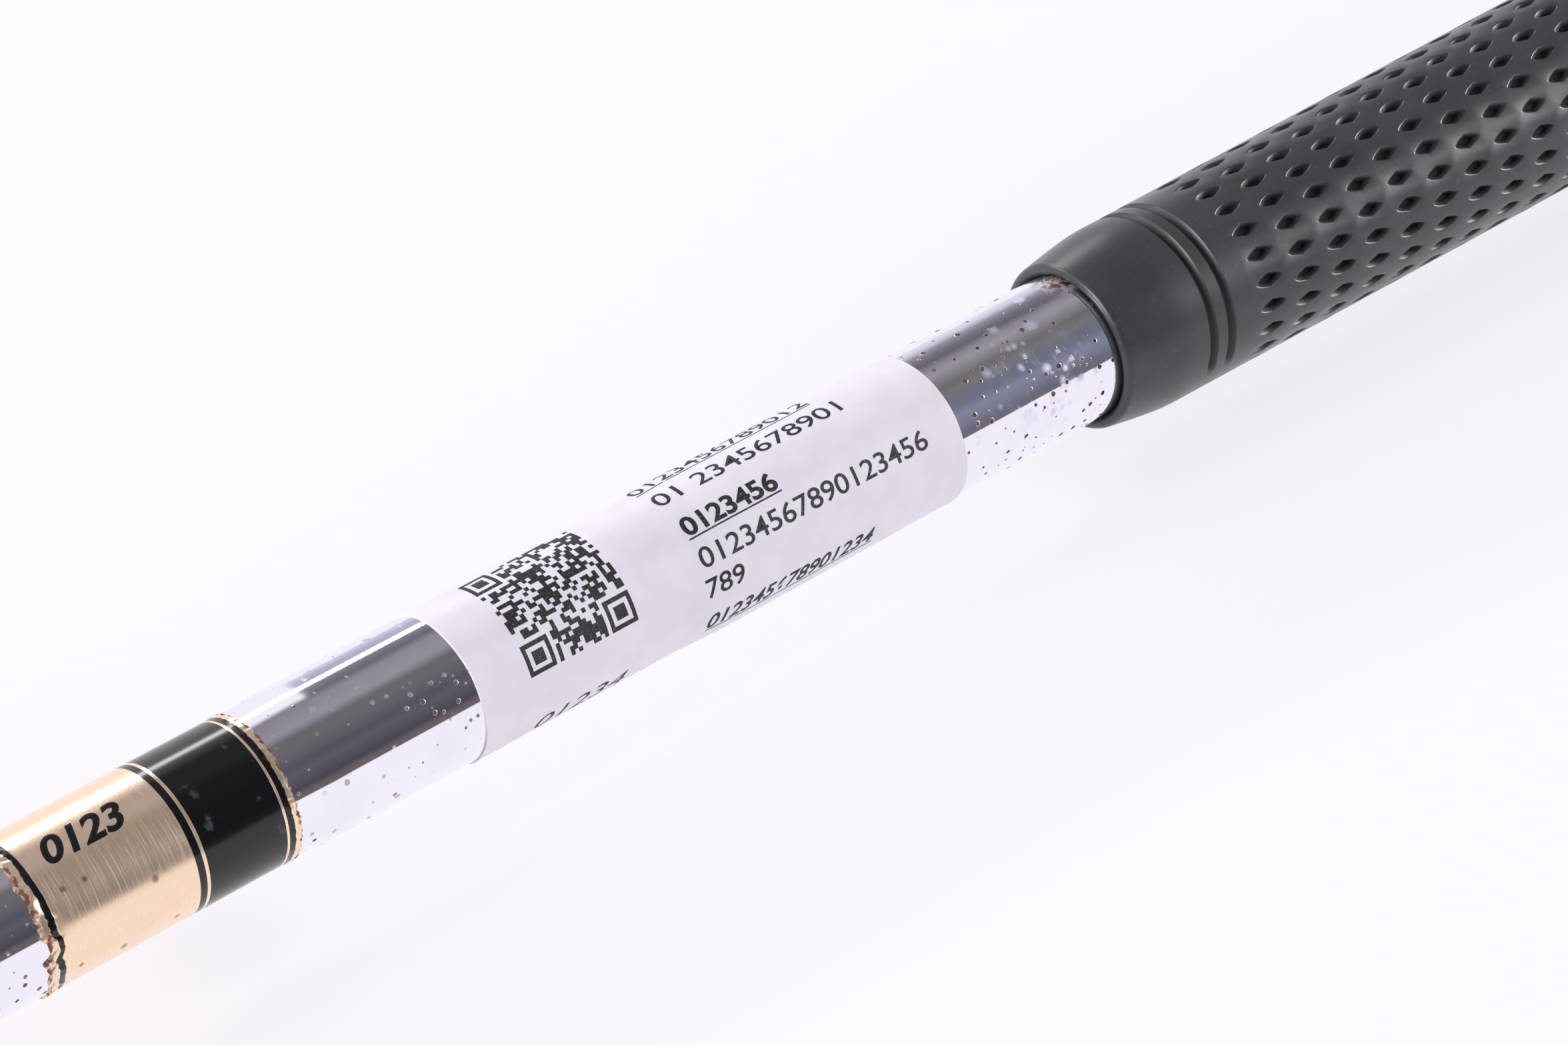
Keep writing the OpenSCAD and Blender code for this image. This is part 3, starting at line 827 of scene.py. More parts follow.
def black_lacquer():
    material, add = new_material("black_band_lacquer")
    place = object_place(add)
    scuff = cloud(add, place, 0.5, 0.62, 0.72, 5.0)
    colour = add("mix", add("MULTIPLY", scuff, 0.35), srgb("#0E0F12"), srgb("#5A5A60"))
    brown, colour = rust_edge(add, place, colour)
    rough = add("ADD", add("MULTIPLY", brown, 0.5), 0.16)
    rough = add("ADD", add("MULTIPLY", scuff, 0.2), rough)
    add("output", add("principled", {"Base Color": colour, "IOR": 1.5, "Roughness": rough}))
    return material


# %% [markdown]
# ### Paper, thermal print and rubber
# Label stock is smooth coated paper, white with a breath of lilac, and its fibres show only as a
# faint mottle. Thermal print is matt black with small gaps where the head skipped a dot. The grip
# is moulded natural rubber: nearly black, dull, with a fine grain from the mould and greyer patches
# where hands and sun have worn it. Down in the dimples its colour is darkened as painted shade.

# %% Paper, print and rubber


def label_paper():
    material, add = new_material("coated_label_paper")
    place = object_place(add)
    fibre = add("noise", place, 5.0, 4.0)
    mottle = cloud(add, place, 0.3, 0.3, 0.7)
    colour = add("mix", mottle, srgb("#EAE4EF"), srgb("#EFEAF3"))
    add("output", add("principled", {
        "Base Color": colour, "Roughness": 0.42, "IOR": 1.5,
        "Normal": add("bump", fibre, 0.01 * MM, 0.25),
    }))
    return material


def thermal_print():
    material, add = new_material("thermal_print_black")
    place = object_place(add)
    skips = cloud(add, place, 7.0, 0.58, 0.7)
    colour = add("mix", add("MULTIPLY", skips, 0.55), srgb("#1B1A1F"), srgb("#8F8A94"))
    add("output", add("principled", {"Base Color": colour, "Roughness": 0.6, "IOR": 1.45}))
    return material


def moulded_rubber(name, dark, worn):
    material, add = new_material(name)
    place = object_place(add)
    grain = add("noise", place, 6.0, 3.0)
    patch = cloud(add, place, 0.09, 0.35, 0.7, 3.0)
    dust = cloud(add, place, 1.6, 0.6, 0.8, 4.0)
    colour = add("mix", patch, srgb(dark), srgb(worn))
    colour = add("mix", add("MULTIPLY", dust, 0.18), colour, srgb("#8C8A90"))
    # Painted shade: the colour runs to near black down into the dimples, by the hollow attribute, and
    # the roughness rises there
    hollow = add("ShaderNodeAttribute", attribute_name="hollow").outputs["Fac"]
    colour = add("mix", hollow, colour, srgb("#0B0B0D"))
    rough = add("range", {"Value": patch, "To Min": 0.36, "To Max": 0.28})
    rough = add("ADD", rough, add("MULTIPLY", hollow, 0.5))
    add("output", add("principled", {
        "Base Color": colour, "Roughness": rough, "IOR": 1.5,
        "Normal": add("bump", grain, 0.02 * MM, 0.3),
    }))
    return material


gold = gold_foil()
lacquer = black_lacquer()
paper = label_paper()
print_black = thermal_print()
rubber = moulded_rubber("moulded_grip_rubber", "#393A3E", "#434449")
cap_rubber = moulded_rubber("moulded_cap_rubber", "#2A2B2E", "#35363A")
for piece, material in (
    (shaft_piece, chrome_plate()), (band_piece, gold), (band_piece, lacquer),
    (label_piece, paper), (label_print, print_black), (band_print, lacquer),
):
    piece.data.materials.append(material)
print("materials:", len(bpy.data.materials))

# %% Bake the mosaic
# The middle of what shows of a patch on a curve isn't its own middle, so it moves a little
MOSAIC_SHIFT, MOSAIC_TURN = 1.4, -6
OVERLAP = 1.02
mosaic_x, mosaic_angle, _ = shaft_place(sight("mosaic_middle", label_piece))
mosaic_x, mosaic_angle = mosaic_x + MOSAIC_SHIFT, mosaic_angle + MOSAIC_TURN
paper_radius = label_radius(mosaic_x)
mosaic_base = mosaic_points(mosaic_x, mosaic_angle, paper_radius)
mosaic_mesh = baked("label_mosaic", mosaic_base, mosaic_tree(), {
    "Block length": BLOCK_PITCH * OVERLAP,
    "Block turn": math.degrees(BLOCK_PITCH * OVERLAP / paper_radius),
    "Ink": INK, "Material": print_black,
    **cone(label_low, label_high, paper_radius, paper_radius),
})
label_mosaic = finished("label_mosaic", mosaic_mesh)
print("mosaic blocks at x, angle:", round(mosaic_x, 2), round(mosaic_angle, 1))
print("mosaic faces:", len(mosaic_mesh.polygons))

# %% [markdown]
# ## The grip
# The grip is moulded rubber. Diamond dimples cover it in staggered rings of 22, every 5.06 mm,
# more than 900 in all, so they are one tile repeated by Geometry Nodes and rolled on to the
# grip's taper. Each tile has only a few dozen faces. A bump map would be lighter, but the dimples
# are 0.7 mm deep and their outline shows at the edge of the grip. The smooth collar with its two
# ring grooves, the bore and the end under the cap are turned, and the parts are welded.

# %% Sizes of the grip, and one dimple tile
DIMPLES_ROUND = 22
RING_PITCH = 5.06
FIRST_RING = 19.15
DIMPLE_LENGTH = 3.6
DIMPLE_WIDTH = 1.5
DIMPLE_DEPTH = 0.7
DIMPLE_POWER = 1.3
SEGMENTS_PER_DIMPLE = 6
# Each loop of a dimple: how far inside its outline, along and across, and how deep. The first one
# lies flat just outside the rim, so that the shading of the rim doesn't spread over the tops.
RIM_LOOPS = ((-0.16, -0.09, 0.0), (0, 0, 0.03), (0.16, 0.08, 0.2), (0.8, 0.38, 1.0))
FIELD_STOP = 25.0

grip_outer, grip_inner = walls(cut_outline("grip_sleeve"))
cap_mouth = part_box("grip_cap")[0].x / MM
dimple_turn = 360 / DIMPLES_ROUND
field_low = MOUTH + FIRST_RING - RING_PITCH / 2
rings = int((cap_mouth - FIELD_STOP - field_low) / RING_PITCH)
field_high = field_low + rings * RING_PITCH


def grip_radius(x):
    reach = [(px, pr) for px, pr in grip_outer if px < cap_mouth + 0.01]
    return wall_radius(sorted(reach), x)


def superellipse(turn, power):
    c, s = math.cos(turn), math.sin(turn)
    return math.copysign(abs(c) ** (2 / power), c), math.copysign(abs(s) ** (2 / power), s)


def dimple_tile():
    """One flat tile with a diamond dimple in it: x and z in mm, y in degrees."""
    half_x, half_y = RING_PITCH / 2, dimple_turn / 2
    steps = SEGMENTS_PER_DIMPLE
    across = [half_y * (2 * k / steps - 1) for k in range(steps)]
    edge = [(half_x, y) for y in across] + [(half_x, half_y), (0, half_y)]
    edge += [(-x, -y) for x, y in edge]
    per_mm = math.degrees(1 / grip_radius(field_low))
    loops = [[(x, y, 0.0) for x, y in edge]]
    for shrink_x, shrink_y, deep in RIM_LOOPS:
        a, b = DIMPLE_LENGTH / 2 - shrink_x, (DIMPLE_WIDTH / 2 - shrink_y) * per_mm
        loop = []
        for x, y in edge:
            c, s = superellipse(math.atan2(y / half_y, x / half_x), DIMPLE_POWER)
            loop.append((a * c, b * s, -DIMPLE_DEPTH * deep))
        loops.append(loop)
    count = len(edge)
    faces = ring_faces(len(loops), count)
    faces.append(tuple((len(loops) - 1) * count + i for i in range(count)))
    return mesh_of("dimple_tile", [p for loop in loops for p in loop], faces)


print("dimple rings:", rings, "dimples:", rings * DIMPLES_ROUND)

# %% The tree that repeats the tile
TILE_WELD = 0.002


def dimple_tree():
    tree, add, given = new_tree("staggered_dimples", {
        "Rings": "NodeSocketInt", "Dimples round": "NodeSocketInt",
        "Ring pitch": "NodeSocketFloat", "Dimple turn": "NodeSocketFloat",
        "First angle": "NodeSocketFloat", "Material": "NodeSocketMaterial", **CONE_SIZES,
    })
    row = add("GeometryNodeInputIndex")
    ring = add("FLOOR", add("DIVIDE", row, given["Dimples round"]))
    step = add("SUBTRACT", row, add("MULTIPLY", ring, given["Dimples round"]))
    stagger = add("MULTIPLY", add("MODULO", ring, 2.0), 0.5)
    x = add("ADD", given["Low end"], add("MULTIPLY", add("ADD", ring, 0.5), given["Ring pitch"]))
    turns = add("MULTIPLY", add("ADD", step, stagger), given["Dimple turn"])
    y = add("ADD", given["First angle"], turns)
    count = add("MULTIPLY", given["Rings"], given["Dimples round"])
    spot = add("ShaderNodeCombineXYZ", {"X": x, "Y": y})
    places = add("GeometryNodePoints", {"Count": count, "Position": spot})
    laid = add("GeometryNodeInstanceOnPoints", {"Points": places, "Instance": given["Geometry"]})
    real = add("GeometryNodeRealizeInstances", {"Geometry": laid})
    rolled = roll_up(add, given, real)
    welded = add("GeometryNodeMergeByDistance", {"Geometry": rolled, "Distance": TILE_WELD * MM})
    close_tree(add, given, welded)
    return tree


first_angle = shaft_place(sight("first_dimple", nodes["grip_sleeve"]))[1]
field = baked("grip_dimples", dimple_tile(), dimple_tree(), {
    "Rings": rings, "Dimples round": DIMPLES_ROUND,
    "Ring pitch": RING_PITCH, "Dimple turn": dimple_turn,
    "First angle": first_angle, "Material": rubber,
    **cone(field_low, field_high, grip_radius(field_low), grip_radius(field_high)),
})
print("first dimple at", round(first_angle, 2), "degrees; field faces:", len(field.polygons))

# %% [markdown]
# The collar swells from the rounded mouth to the two ring grooves. Each groove is a dip in the
# rings' radius, and its depth fades out at an angle, which leaves the rounded ends that the
# photograph shows. The turned part has as many segments to a dimple as a tile has, so its last
# ring matches the field's first one and the two can be welded.

# %% Turn the collar and weld the grip
GROOVES = (10.85, 13.35)
GROOVE_HALF = 0.6
GROOVE_DEPTH = 0.45
GROOVE_END = 106.0


def grooved(x, r, angle):
    angle = abs(from_top(angle))
    if r < shaft_radius(x) + 0.8:
        return x, r
    fade = ease((GROOVE_END + 2 - angle) / 4)
    dip = 0.0
    for offset in GROOVES:
        away = abs(x - MOUTH - offset) / GROOVE_HALF
        if away < 1:
            dip = GROOVE_DEPTH * math.cos(away * math.pi / 2) ** 0.8 * fade
    return x, r - dip


def collar_shape():
    """The collar's outer wall from the field down to the mouth, with rings for the grooves."""
    lip = [(x, r) for x, r in grip_outer if x < MOUTH + 1.2]
    xs, rs = zip(*sorted((p for p in grip_outer if p[0] < field_low + 4), key=lambda p: p[0]))
    stations = {round(MOUTH + s, 3) for s in np.arange(1.6, 10, 0.7)}
    for offset in GROOVES:
        stations |= {round(MOUTH + offset + GROOVE_HALF * k / 4, 3) for k in range(-5, 6)}
    stations.add(field_low - 1.0)
    spread = np.linspace(-1.2, 1.2, 7)
    wall = []
    for x in sorted(stations):
        reach = spread * min(1, (x - MOUTH - 0.6) / 2.4)
        wall.append((x, float(np.interp(x + reach, xs, rs).mean())))
    return [(field_low, grip_radius(field_low)), *wall[::-1], *lip[::-1]]


upper = [(x, r) for x, r in grip_outer if x > field_high + 0.5]
grip_ring = [*collar_shape(), *grip_inner, *upper[::-1], (field_high, grip_radius(field_high))]
collar = turned(
    "grip_collar", grip_ring, DIMPLES_ROUND * SEGMENTS_PER_DIMPLE, grooved,
    first_angle - dimple_turn / 2,
)
weld = bmesh.new()
weld.from_mesh(collar.data)
ends = {round(field_low, 2), round(field_high, 2)}
span = [f for f in weld.faces if {round(v.co.x / MM, 2) for v in f.verts} == ends]
bmesh.ops.delete(weld, geom=span, context="FACES")
weld.from_mesh(field)
bmesh.ops.remove_doubles(weld, verts=weld.verts, dist=0.004 * MM)
loose = [e for e in weld.edges if len(e.link_faces) != 2]
grip_mesh = bpy.data.meshes.new("grip_rubber")
weld.to_mesh(grip_mesh)
weld.free()
bpy.data.objects.remove(collar)
grip_piece = finished("dimpled_grip", grip_mesh, 50)
grip_mesh.materials.clear()
grip_mesh.materials.append(rubber)
# How deep each point lies in a dimple, 0 to 1, which the rubber uses for painted shade in the dimples
hollow = grip_mesh.attributes.new("hollow", "FLOAT", "POINT")
for vertex, value in zip(grip_mesh.vertices, hollow.data):
    x, angle, r = shaft_place(vertex.co)
    value.value = max(0.0, min(1.0, (grip_radius(x) - r) / DIMPLE_DEPTH))
print("grip faces:", len(grip_mesh.polygons), "open edges:", len(loose))

# %% [markdown]
# ## Cap and ferrule
# The cap is a harder rubber moulded over the end of the sleeve, and the ferrule is a turned
# cellulose collar on top of the hosel. Both are plain turned shapes, so the CAD outline is turned
# again in fine steps.

# %% Turn the cap and the ferrule
CAP_AROUND, FERRULE_AROUND = 160, 128
cap_piece = turned("grip_end_cap", cut_outline("grip_cap"), CAP_AROUND)
cap_piece.data.materials.append(cap_rubber)
ferrule_piece = turned("hosel_ferrule", cut_outline("ferrule"), FERRULE_AROUND)


def gloss_cellulose():
    """Polished black cellulose: deep, with faint turning lines."""
    material, add = new_material("polished_black_cellulose")
    lines = add("noise", object_place(add, (6, 0.1, 0.1)), 1.0)
    add("output", add("principled", {
        "Base Color": srgb("#0B0B0C"), "IOR": 1.5,
        "Roughness": add("range", {"Value": lines, "To Min": 0.08, "To Max": 0.2}),
    }))
    return material


ferrule_piece.data.materials.append(gloss_cellulose())
print("cap faces:", len(cap_piece.data.polygons))

# %% [markdown]
# Black enamel on metal woods is a sprayed and baked coat, deep and glossy, with fine scratches
# from the bag. The face is steel blasted between the score lines and rubbed by balls. The sole is
# brushed from heel to toe and scuffed.

# %% Finishes of the head


def black_enamel():
    material, add = new_material("baked_black_enamel")
    place = object_place(add)
    scratch = add("noise", object_place(add, (0.6, 6, 2)), 0.6, 4.0)
    marks = add("range", scratch, 0.66, 0.72)
    flake = add("noise", place, 0.05)
    colour = add("mix", flake, srgb("#0C0D10"), srgb("#15161A"))
    add("output", add("principled", {
        "Base Color": add("mix", add("MULTIPLY", marks, 0.25), colour, srgb("#55565C")),
        "Roughness": add("range", {"Value": marks, "To Min": 0.14, "To Max": 0.4}), "IOR": 1.5,
        "Coat Weight": 0.25, "Coat Roughness": 0.05,
    }))
    return material


def worked_steel(name, tint, dark, stretch, low, high, grain, turn=0.0):
    """Bare steel with a grain along one direction and dull wear."""
    material, add = new_material(name)
    turned_place = add("mapping", {"Vector": object_place(add), "Rotation": (0, 0, math.radians(turn))})
    grain_place = add("mapping", turned_place, stretch)
    lines = add("noise", grain_place, 1.0, 3.0)
    wear = cloud(add, object_place(add), 0.08, 0.35, 0.7, 4.0)
    add("output", add("principled", {
        "Base Color": add("mix", wear, srgb(tint), srgb(dark)), "Metallic": 1.0,
        "Roughness": add("range", {"Value": lines, "To Min": low, "To Max": high}),
        "Normal": add("bump", lines, grain * MM, 0.4),
    }))
    return material


def plain_core(name, low, high, scale, roughness, metallic=0.0):
    """A hidden piece: two tones of its own substance, mottled at its own grain."""
    material, add = new_material(name)
    grain = add("noise", object_place(add), scale, 3.0)
    add("output", add("principled", {
        "Base Color": add("mix", grain, srgb(low), srgb(high)), "Roughness": roughness,
        "Metallic": metallic,
    }))
    return material


enamel = black_enamel()
print("finishes made:", enamel.name)

# %% [markdown]
# ## The head
# The head is a welded shell of cast steel. Its crown, skirt and neck flow into each other, which
# is hard to model face by face: a boolean union leaves a crease where the neck meets the heel. So
# its skin is made as a field. Every point of space gets its distance from the dome, from the ball
# that the face is part of, and from the neck, a soft minimum blends them, and Volume to Mesh draws
# the skin where the blend is nought. All of this is drawn in mm at address, with the shaft's axis
# through the origin, x from heel to toe and z up from the sole.

# %% Sizes of the head at address
LIE, LOFT = math.radians(57), math.radians(15)
HEAD_HEIGHT, TOE_REACH, HEEL_REACH = 36.0, 86.0, 19.0
BACK_REACH, FRONT_REACH, DOME_X = 62.0, 24.0, 42.0
CROWN_APEX = (38.0, -8.0)
SKIRT_BACK, SKIRT_FRONT = 11.0, 17.0
OUTLINE_POWERS = (2.3, 2.2, 1.95, 2.25)
CROWN_POWER, SOLE_POWER = 2.25, 3.4
FACE_BALL, FACE_MIDDLE = 280.0, Vector((36.0, 0.0, 17.0))
LEAD_Y, LEAD_Z = 14.0, 1.55
NECK_FOOT, NECK_BLEND, RIM_BLEND = 16.0, 17.0, 2.5
FOG_REACH, SKIN_CELL, HOLLOW_CELL = 3.0, 0.62, 1.1
CLUB_X, CLUB_Y, CLUB_Z = -525.549, 34.0906, 14
HOSEL_R, HOSEL_TOP, HOSEL_FLOOR, BORE_R = 6.75, 66.0, 22.0, 4.37
SHELL_WALL, FACE_WALL = 0.9, 2.6
FACE_W, FACE_H, FACE_POWER, FACE_FLARE = 66.0, 24.0, 2.8, 0.16
SOLE_L, SOLE_W, SOLE_PLATE_POWER, SOLE_MIDDLE = 56.0, 34.0, 2.5, (38.0, -19.0)
HOSEL_WAY = Vector((-math.cos(LIE), 0, math.sin(LIE)))

face_z = FACE_MIDDLE.z - FACE_BALL * math.sin(LOFT)
ball_y = LEAD_Y - math.sqrt(FACE_BALL ** 2 - (LEAD_Z - face_z) ** 2)
ball_middle = Vector((FACE_MIDDLE.x, ball_y, face_z))


def on_club(point):
    """A point drawn at address, in mm, on the club as it lies, in metres."""
    turn = math.radians(180) + LIE
    x = math.cos(turn) * point[0] - math.sin(turn) * point[2]
    y = math.sin(turn) * point[0] + math.cos(turn) * point[2]
    return Vector((x + CLUB_X, y + CLUB_Y, CLUB_Z - point[1])) * MM


def grid_mesh(name, rings, *ends):
    """A closed mesh through rings of equal length, with a point or a flat end at each end."""
    around = len(rings[0])
    verts = [v for ring in rings for v in ring]
    faces = ring_faces(len(rings), around)
    top = (len(rings) - 1) * around
    if ends:
        verts += ends
        for i in range(around):
            j = (i + 1) % around
            faces += [(len(verts) - 2, j, i), (len(verts) - 1, top + i, top + j)]
    else:
        faces += [tuple(range(around))[::-1], tuple(range(top, top + around))]
    return mesh_of(name, [tuple(v) for v in verts], faces)


# %% The dome that crown, skirt and sole are part of
DOME_AROUND, DOME_RINGS = 160, 36


def dome_point(a, b):
    """A point of the dome: a turns from the toe to the face, b rises from the sole to the crown."""
    x, y = superellipse(a, OUTLINE_POWERS[int(math.degrees(a) % 360 // 90)])
    rim = (
        DOME_X + x * (TOE_REACH - DOME_X if x > 0 else HEEL_REACH + DOME_X),
        y * (FRONT_REACH if y > 0 else BACK_REACH),
    )
    power = CROWN_POWER if b > 0 else SOLE_POWER
    out, up = math.cos(b) ** (2 / power), abs(math.sin(b)) ** (2 / power)
    skirt = SKIRT_BACK + (SKIRT_FRONT - SKIRT_BACK) * (1 + math.sin(a)) / 2
    z = skirt + (HEAD_HEIGHT - skirt) * up if b > 0 else skirt * (1 - up)
    return (
        CROWN_APEX[0] + (rim[0] - CROWN_APEX[0]) * out,
        CROWN_APEX[1] + (rim[1] - CROWN_APEX[1]) * out, z,
    )


dome_turns = [2 * math.pi * i / DOME_AROUND for i in range(DOME_AROUND)]
dome_rises = [math.pi / 2 * k / DOME_RINGS for k in range(1 - DOME_RINGS, DOME_RINGS)]
dome_rings = [[dome_point(a, b) for a in dome_turns] for b in dome_rises]
dome_mesh = grid_mesh("dome", dome_rings, (*CROWN_APEX, 0), (*CROWN_APEX, HEAD_HEIGHT))
print("dome faces:", len(dome_mesh.polygons))

# %% A tree that draws the skin of a field
DOME_HEART = (38.0, -8.0, 13.0)


def field_tree(name, hollow):
    """The head's outer skin, or the skin of its hollow, drawn from distances."""
    tree, add, given = new_tree(name, {
        "Low corner": "NodeSocketVector", "High corner": "NodeSocketVector",
        "Cells": "NodeSocketVector", "Blend": "NodeSocketFloat", "Material": "NodeSocketMaterial",
    })
    place = add("GeometryNodeInputPosition")
    nearest = add("GeometryNodeProximity", {"Geometry": given["Geometry"], "Sample Position": place})
    off = add("vector", place, nearest.outputs["Position"], operation="SUBTRACT")
    spoke = add("vector", nearest.outputs["Position"], DOME_HEART, operation="SUBTRACT")
    side = add("vector", off, spoke, operation="DOT_PRODUCT")
    dome = add("MULTIPLY", nearest.outputs["Distance"], add("SIGN", side))
    to_ball = add("vector", place, ball_middle, operation="DISTANCE")
    ball = add("SUBTRACT", to_ball, FACE_BALL)
    up = add("vector", place, HOSEL_WAY, operation="DOT_PRODUCT")
    foot = add("vector", {0: HOSEL_WAY, "Scale": up}, operation="SCALE")
    away = add("vector", place, foot, operation="DISTANCE")
    tube = add("SUBTRACT", away, HOSEL_R)
    if hollow:
        room = add("MAXIMUM", add("ADD", dome, SHELL_WALL), add("ADD", ball, FACE_WALL))
        across = add("vector", place, (HOSEL_WAY.z, 0, -HOSEL_WAY.x), operation="DOT_PRODUCT")
        part = add("ShaderNodeSeparateXYZ", {"Vector": place}).outputs
        beside = add("SUBTRACT", add("ABSOLUTE", across), HOSEL_R)
        web = add("MAXIMUM", beside, add("MULTIPLY", part["Y"], -1.0))
        skin = add("MAXIMUM", room, add("MULTIPLY", add("MINIMUM", tube, web), -1.0))
    else:
        body = add("SMOOTH_MAX", dome, ball, RIM_BLEND)
        ends = add("MAXIMUM", add("SUBTRACT", up, HOSEL_TOP), add("SUBTRACT", NECK_FOOT, up))
        neck = add("MAXIMUM", tube, ends)
        skin = add("SMOOTH_MIN", body, neck, given["Blend"])
    fog = add("range", skin, FOG_REACH, -FOG_REACH)
    cells = add("ShaderNodeSeparateXYZ", {"Vector": given["Cells"]}).outputs
    block = add("GeometryNodeVolumeCube", {
        "Density": fog, "Min": given["Low corner"], "Max": given["High corner"],
        "Resolution X": cells["X"], "Resolution Y": cells["Y"], "Resolution Z": cells["Z"],
    })
    skinned = add("GeometryNodeVolumeToMesh", {"Volume": block, "Threshold": 0.5})
    close_tree(add, given, skinned)
    return tree


FIELD_LOW, FIELD_HIGH = Vector((-46, -66, -4)), Vector((92, 22, 64))


def drawn_field(name, hollow, cell):
    cells = [(high - low) / cell for low, high in zip(FIELD_LOW, FIELD_HIGH)]
    return baked(name, dome_mesh, field_tree(name, hollow), {
        "Low corner": FIELD_LOW, "High corner": FIELD_HIGH, "Cells": cells,
        "Blend": NECK_BLEND, "Material": enamel,
    })


skin_mesh = drawn_field("head_skin", False, SKIN_CELL)
hollow_mesh = drawn_field("head_hollow", True, HOLLOW_CELL)
print("skin faces:", len(skin_mesh.polygons), "hollow faces:", len(hollow_mesh.polygons))

# %% Cut the shell out of the skin
SEAM = 0.05
# How far the cutters reach along their own height, in mm
FACE_CUT, SOLE_CUT, PLATE_RANGE, SCREW_CUT = (-9, 14), (-3, 8), (-2.5, 7.5), (-5, 10)
BORE_CUT = (HOSEL_FLOOR, HOSEL_TOP + 6)


def prism(name, outline, heights, place):
    """An outline drawn out between two heights, and put in its place."""
    return grid_mesh(name, [[place(x, y, h) for x, y in outline] for h in heights])


def face_place(x, y, h):
    """x to the toe, y up the face and h out of it."""
    c, s = math.cos(LOFT), math.sin(LOFT)
    return FACE_MIDDLE + Vector((x, -y * s + h * c, y * c + h * s))


def face_outline(grow, count=48):
    w, h = FACE_W / 2 + grow, FACE_H / 2 + grow
    corners = [superellipse(2 * math.pi * i / count, FACE_POWER) for i in range(count)]
    return [(x * w, y * h * (1 + FACE_FLARE * x)) for x, y in corners]


def sole_outline(grow, count=36):
    corners = [superellipse(2 * math.pi * i / count, SOLE_PLATE_POWER) for i in range(count)]
    long, wide = SOLE_L / 2 + grow, SOLE_W / 2 + grow
    return [(SOLE_MIDDLE[0] + x * long, SOLE_MIDDLE[1] + y * wide) for x, y in corners]


def upright(x, y, h):
    return Vector((x, y, h))


def hosel_place(x, y, h):
    return Vector((x * HOSEL_WAY.z, y, -x * HOSEL_WAY.x)) + HOSEL_WAY * h


bore_turns = [math.pi * i / 32 for i in range(64)]
bore = [(BORE_R * math.cos(turn), BORE_R * math.sin(turn)) for turn in bore_turns]
CUTTERS = [
    hollow_mesh,
    prism("bore", bore, BORE_CUT, hosel_place),
    prism("face_hole", face_outline(SEAM), FACE_CUT, face_place),
    prism("sole_hole", sole_outline(SEAM), SOLE_CUT, upright),
]


def carved(name, base, cutters, kept=()):
    """A mesh cut to what lies in some meshes and outside others, by Boolean modifiers."""
    whole = linked(name, base)
    tools = []
    for mesh, operation in [(m, "INTERSECT") for m in kept] + [(m, "DIFFERENCE") for m in cutters]:
        tools.append(linked(mesh.name, mesh))
        modifier = whole.modifiers.new(mesh.name, "BOOLEAN")
        modifier.object, modifier.operation, modifier.solver = tools[-1], operation, "EXACT"
        modifier.material_mode = "TRANSFER"
    result = evaluated_mesh(whole)
    for made in (whole, *tools):
        bpy.data.objects.remove(made)
    return result


def softened(mesh, rounds):
    """Evens out the cells that the field was drawn in."""
    with edited(mesh) as shape:
        for _ in range(rounds):
            bmesh.ops.smooth_vert(
                shape, verts=shape.verts, factor=0.5,
                use_axis_x=True, use_axis_y=True, use_axis_z=True,
            )
    return mesh


def turn_outward(*meshes):
    for mesh in meshes:
        with edited(mesh) as shape:
            bmesh.ops.recalc_face_normals(shape, faces=shape.faces)


turn_outward(*CUTTERS)
shell_mesh = carved("head_shell", softened(skin_mesh, 4), CUTTERS)
# The sole plate is cut from the same two meshes and has to keep its own steel
for mesh in (shell_mesh, skin_mesh, hollow_mesh):
    mesh.materials.clear()
for vertex in shell_mesh.vertices:
    vertex.co = on_club(vertex.co)
head_piece = finished("head_shell", shell_mesh, 30)
print("shell faces:", len(head_piece.data.polygons))

# %% Dress the head's CAD nodes


def smooth_copy(name, node, sharp):
    shape = bmesh.new()
    shape.from_mesh(nodes[node].data)
    bmesh.ops.remove_doubles(shape, verts=shape.verts, dist=0.003 * MM)
    bmesh.ops.dissolve_degenerate(shape, edges=shape.edges, dist=0.003 * MM)
    data = bpy.data.meshes.new(name)
    shape.to_mesh(data)
    shape.free()
    return finished(name, data, sharp)


face_piece = smooth_copy("face_insert", "face_plate", 1)

# %% Cut the sole plate from the same skin
SCREW_MIDDLE, SCREW_R = (38.0, -31.0), 3.0
screw_hole = [
    (SCREW_MIDDLE[0] + x * SCREW_R, SCREW_MIDDLE[1] + y * SCREW_R)
    for x, y in (superellipse(math.pi * i / 16, 2) for i in range(32))
]
plate_blank = prism("sole_blank", sole_outline(0.0), PLATE_RANGE, upright)
screw_cutter = prism("screw_hole", screw_hole, SCREW_CUT, upright)
turn_outward(plate_blank, screw_cutter)
print("corners of the screw's hole:", len(screw_hole))

# %% Engrave a plain number in it
NUMBER_HIGH, NUMBER_DEEP = 13.0, 0.3


def number_cutter(text, x, y):
    """The flat text as a solid through the sole's skin, its top towards the back of the head."""
    mesh = flat_digits("sole_number", text, extrude=1.0)
    corners = [v.co.copy() for v in mesh.vertices]
    low = [min(p[i] for p in corners) for i in range(3)]
    high = [max(p[i] for p in corners) for i in range(3)]
    size = NUMBER_HIGH / (high[1] - low[1])
    for vertex, spot in zip(mesh.vertices, corners):
        across, along = ((spot[i] - (low[i] + high[i]) / 2) * size for i in (0, 1))
        deep = NUMBER_DEEP if spot.z > 0 else -4.0
        vertex.co = (x + across, y - along, deep)
    with edited(mesh) as shape:
        bmesh.ops.remove_doubles(shape, verts=shape.verts, dist=1e-3)
        bmesh.ops.recalc_face_normals(shape, faces=shape.faces)
        print("open edges of the number:", len([e for e in shape.edges if len(e.link_faces) != 2]))
    return mesh


number_mesh = number_cutter("3", 38, -16)

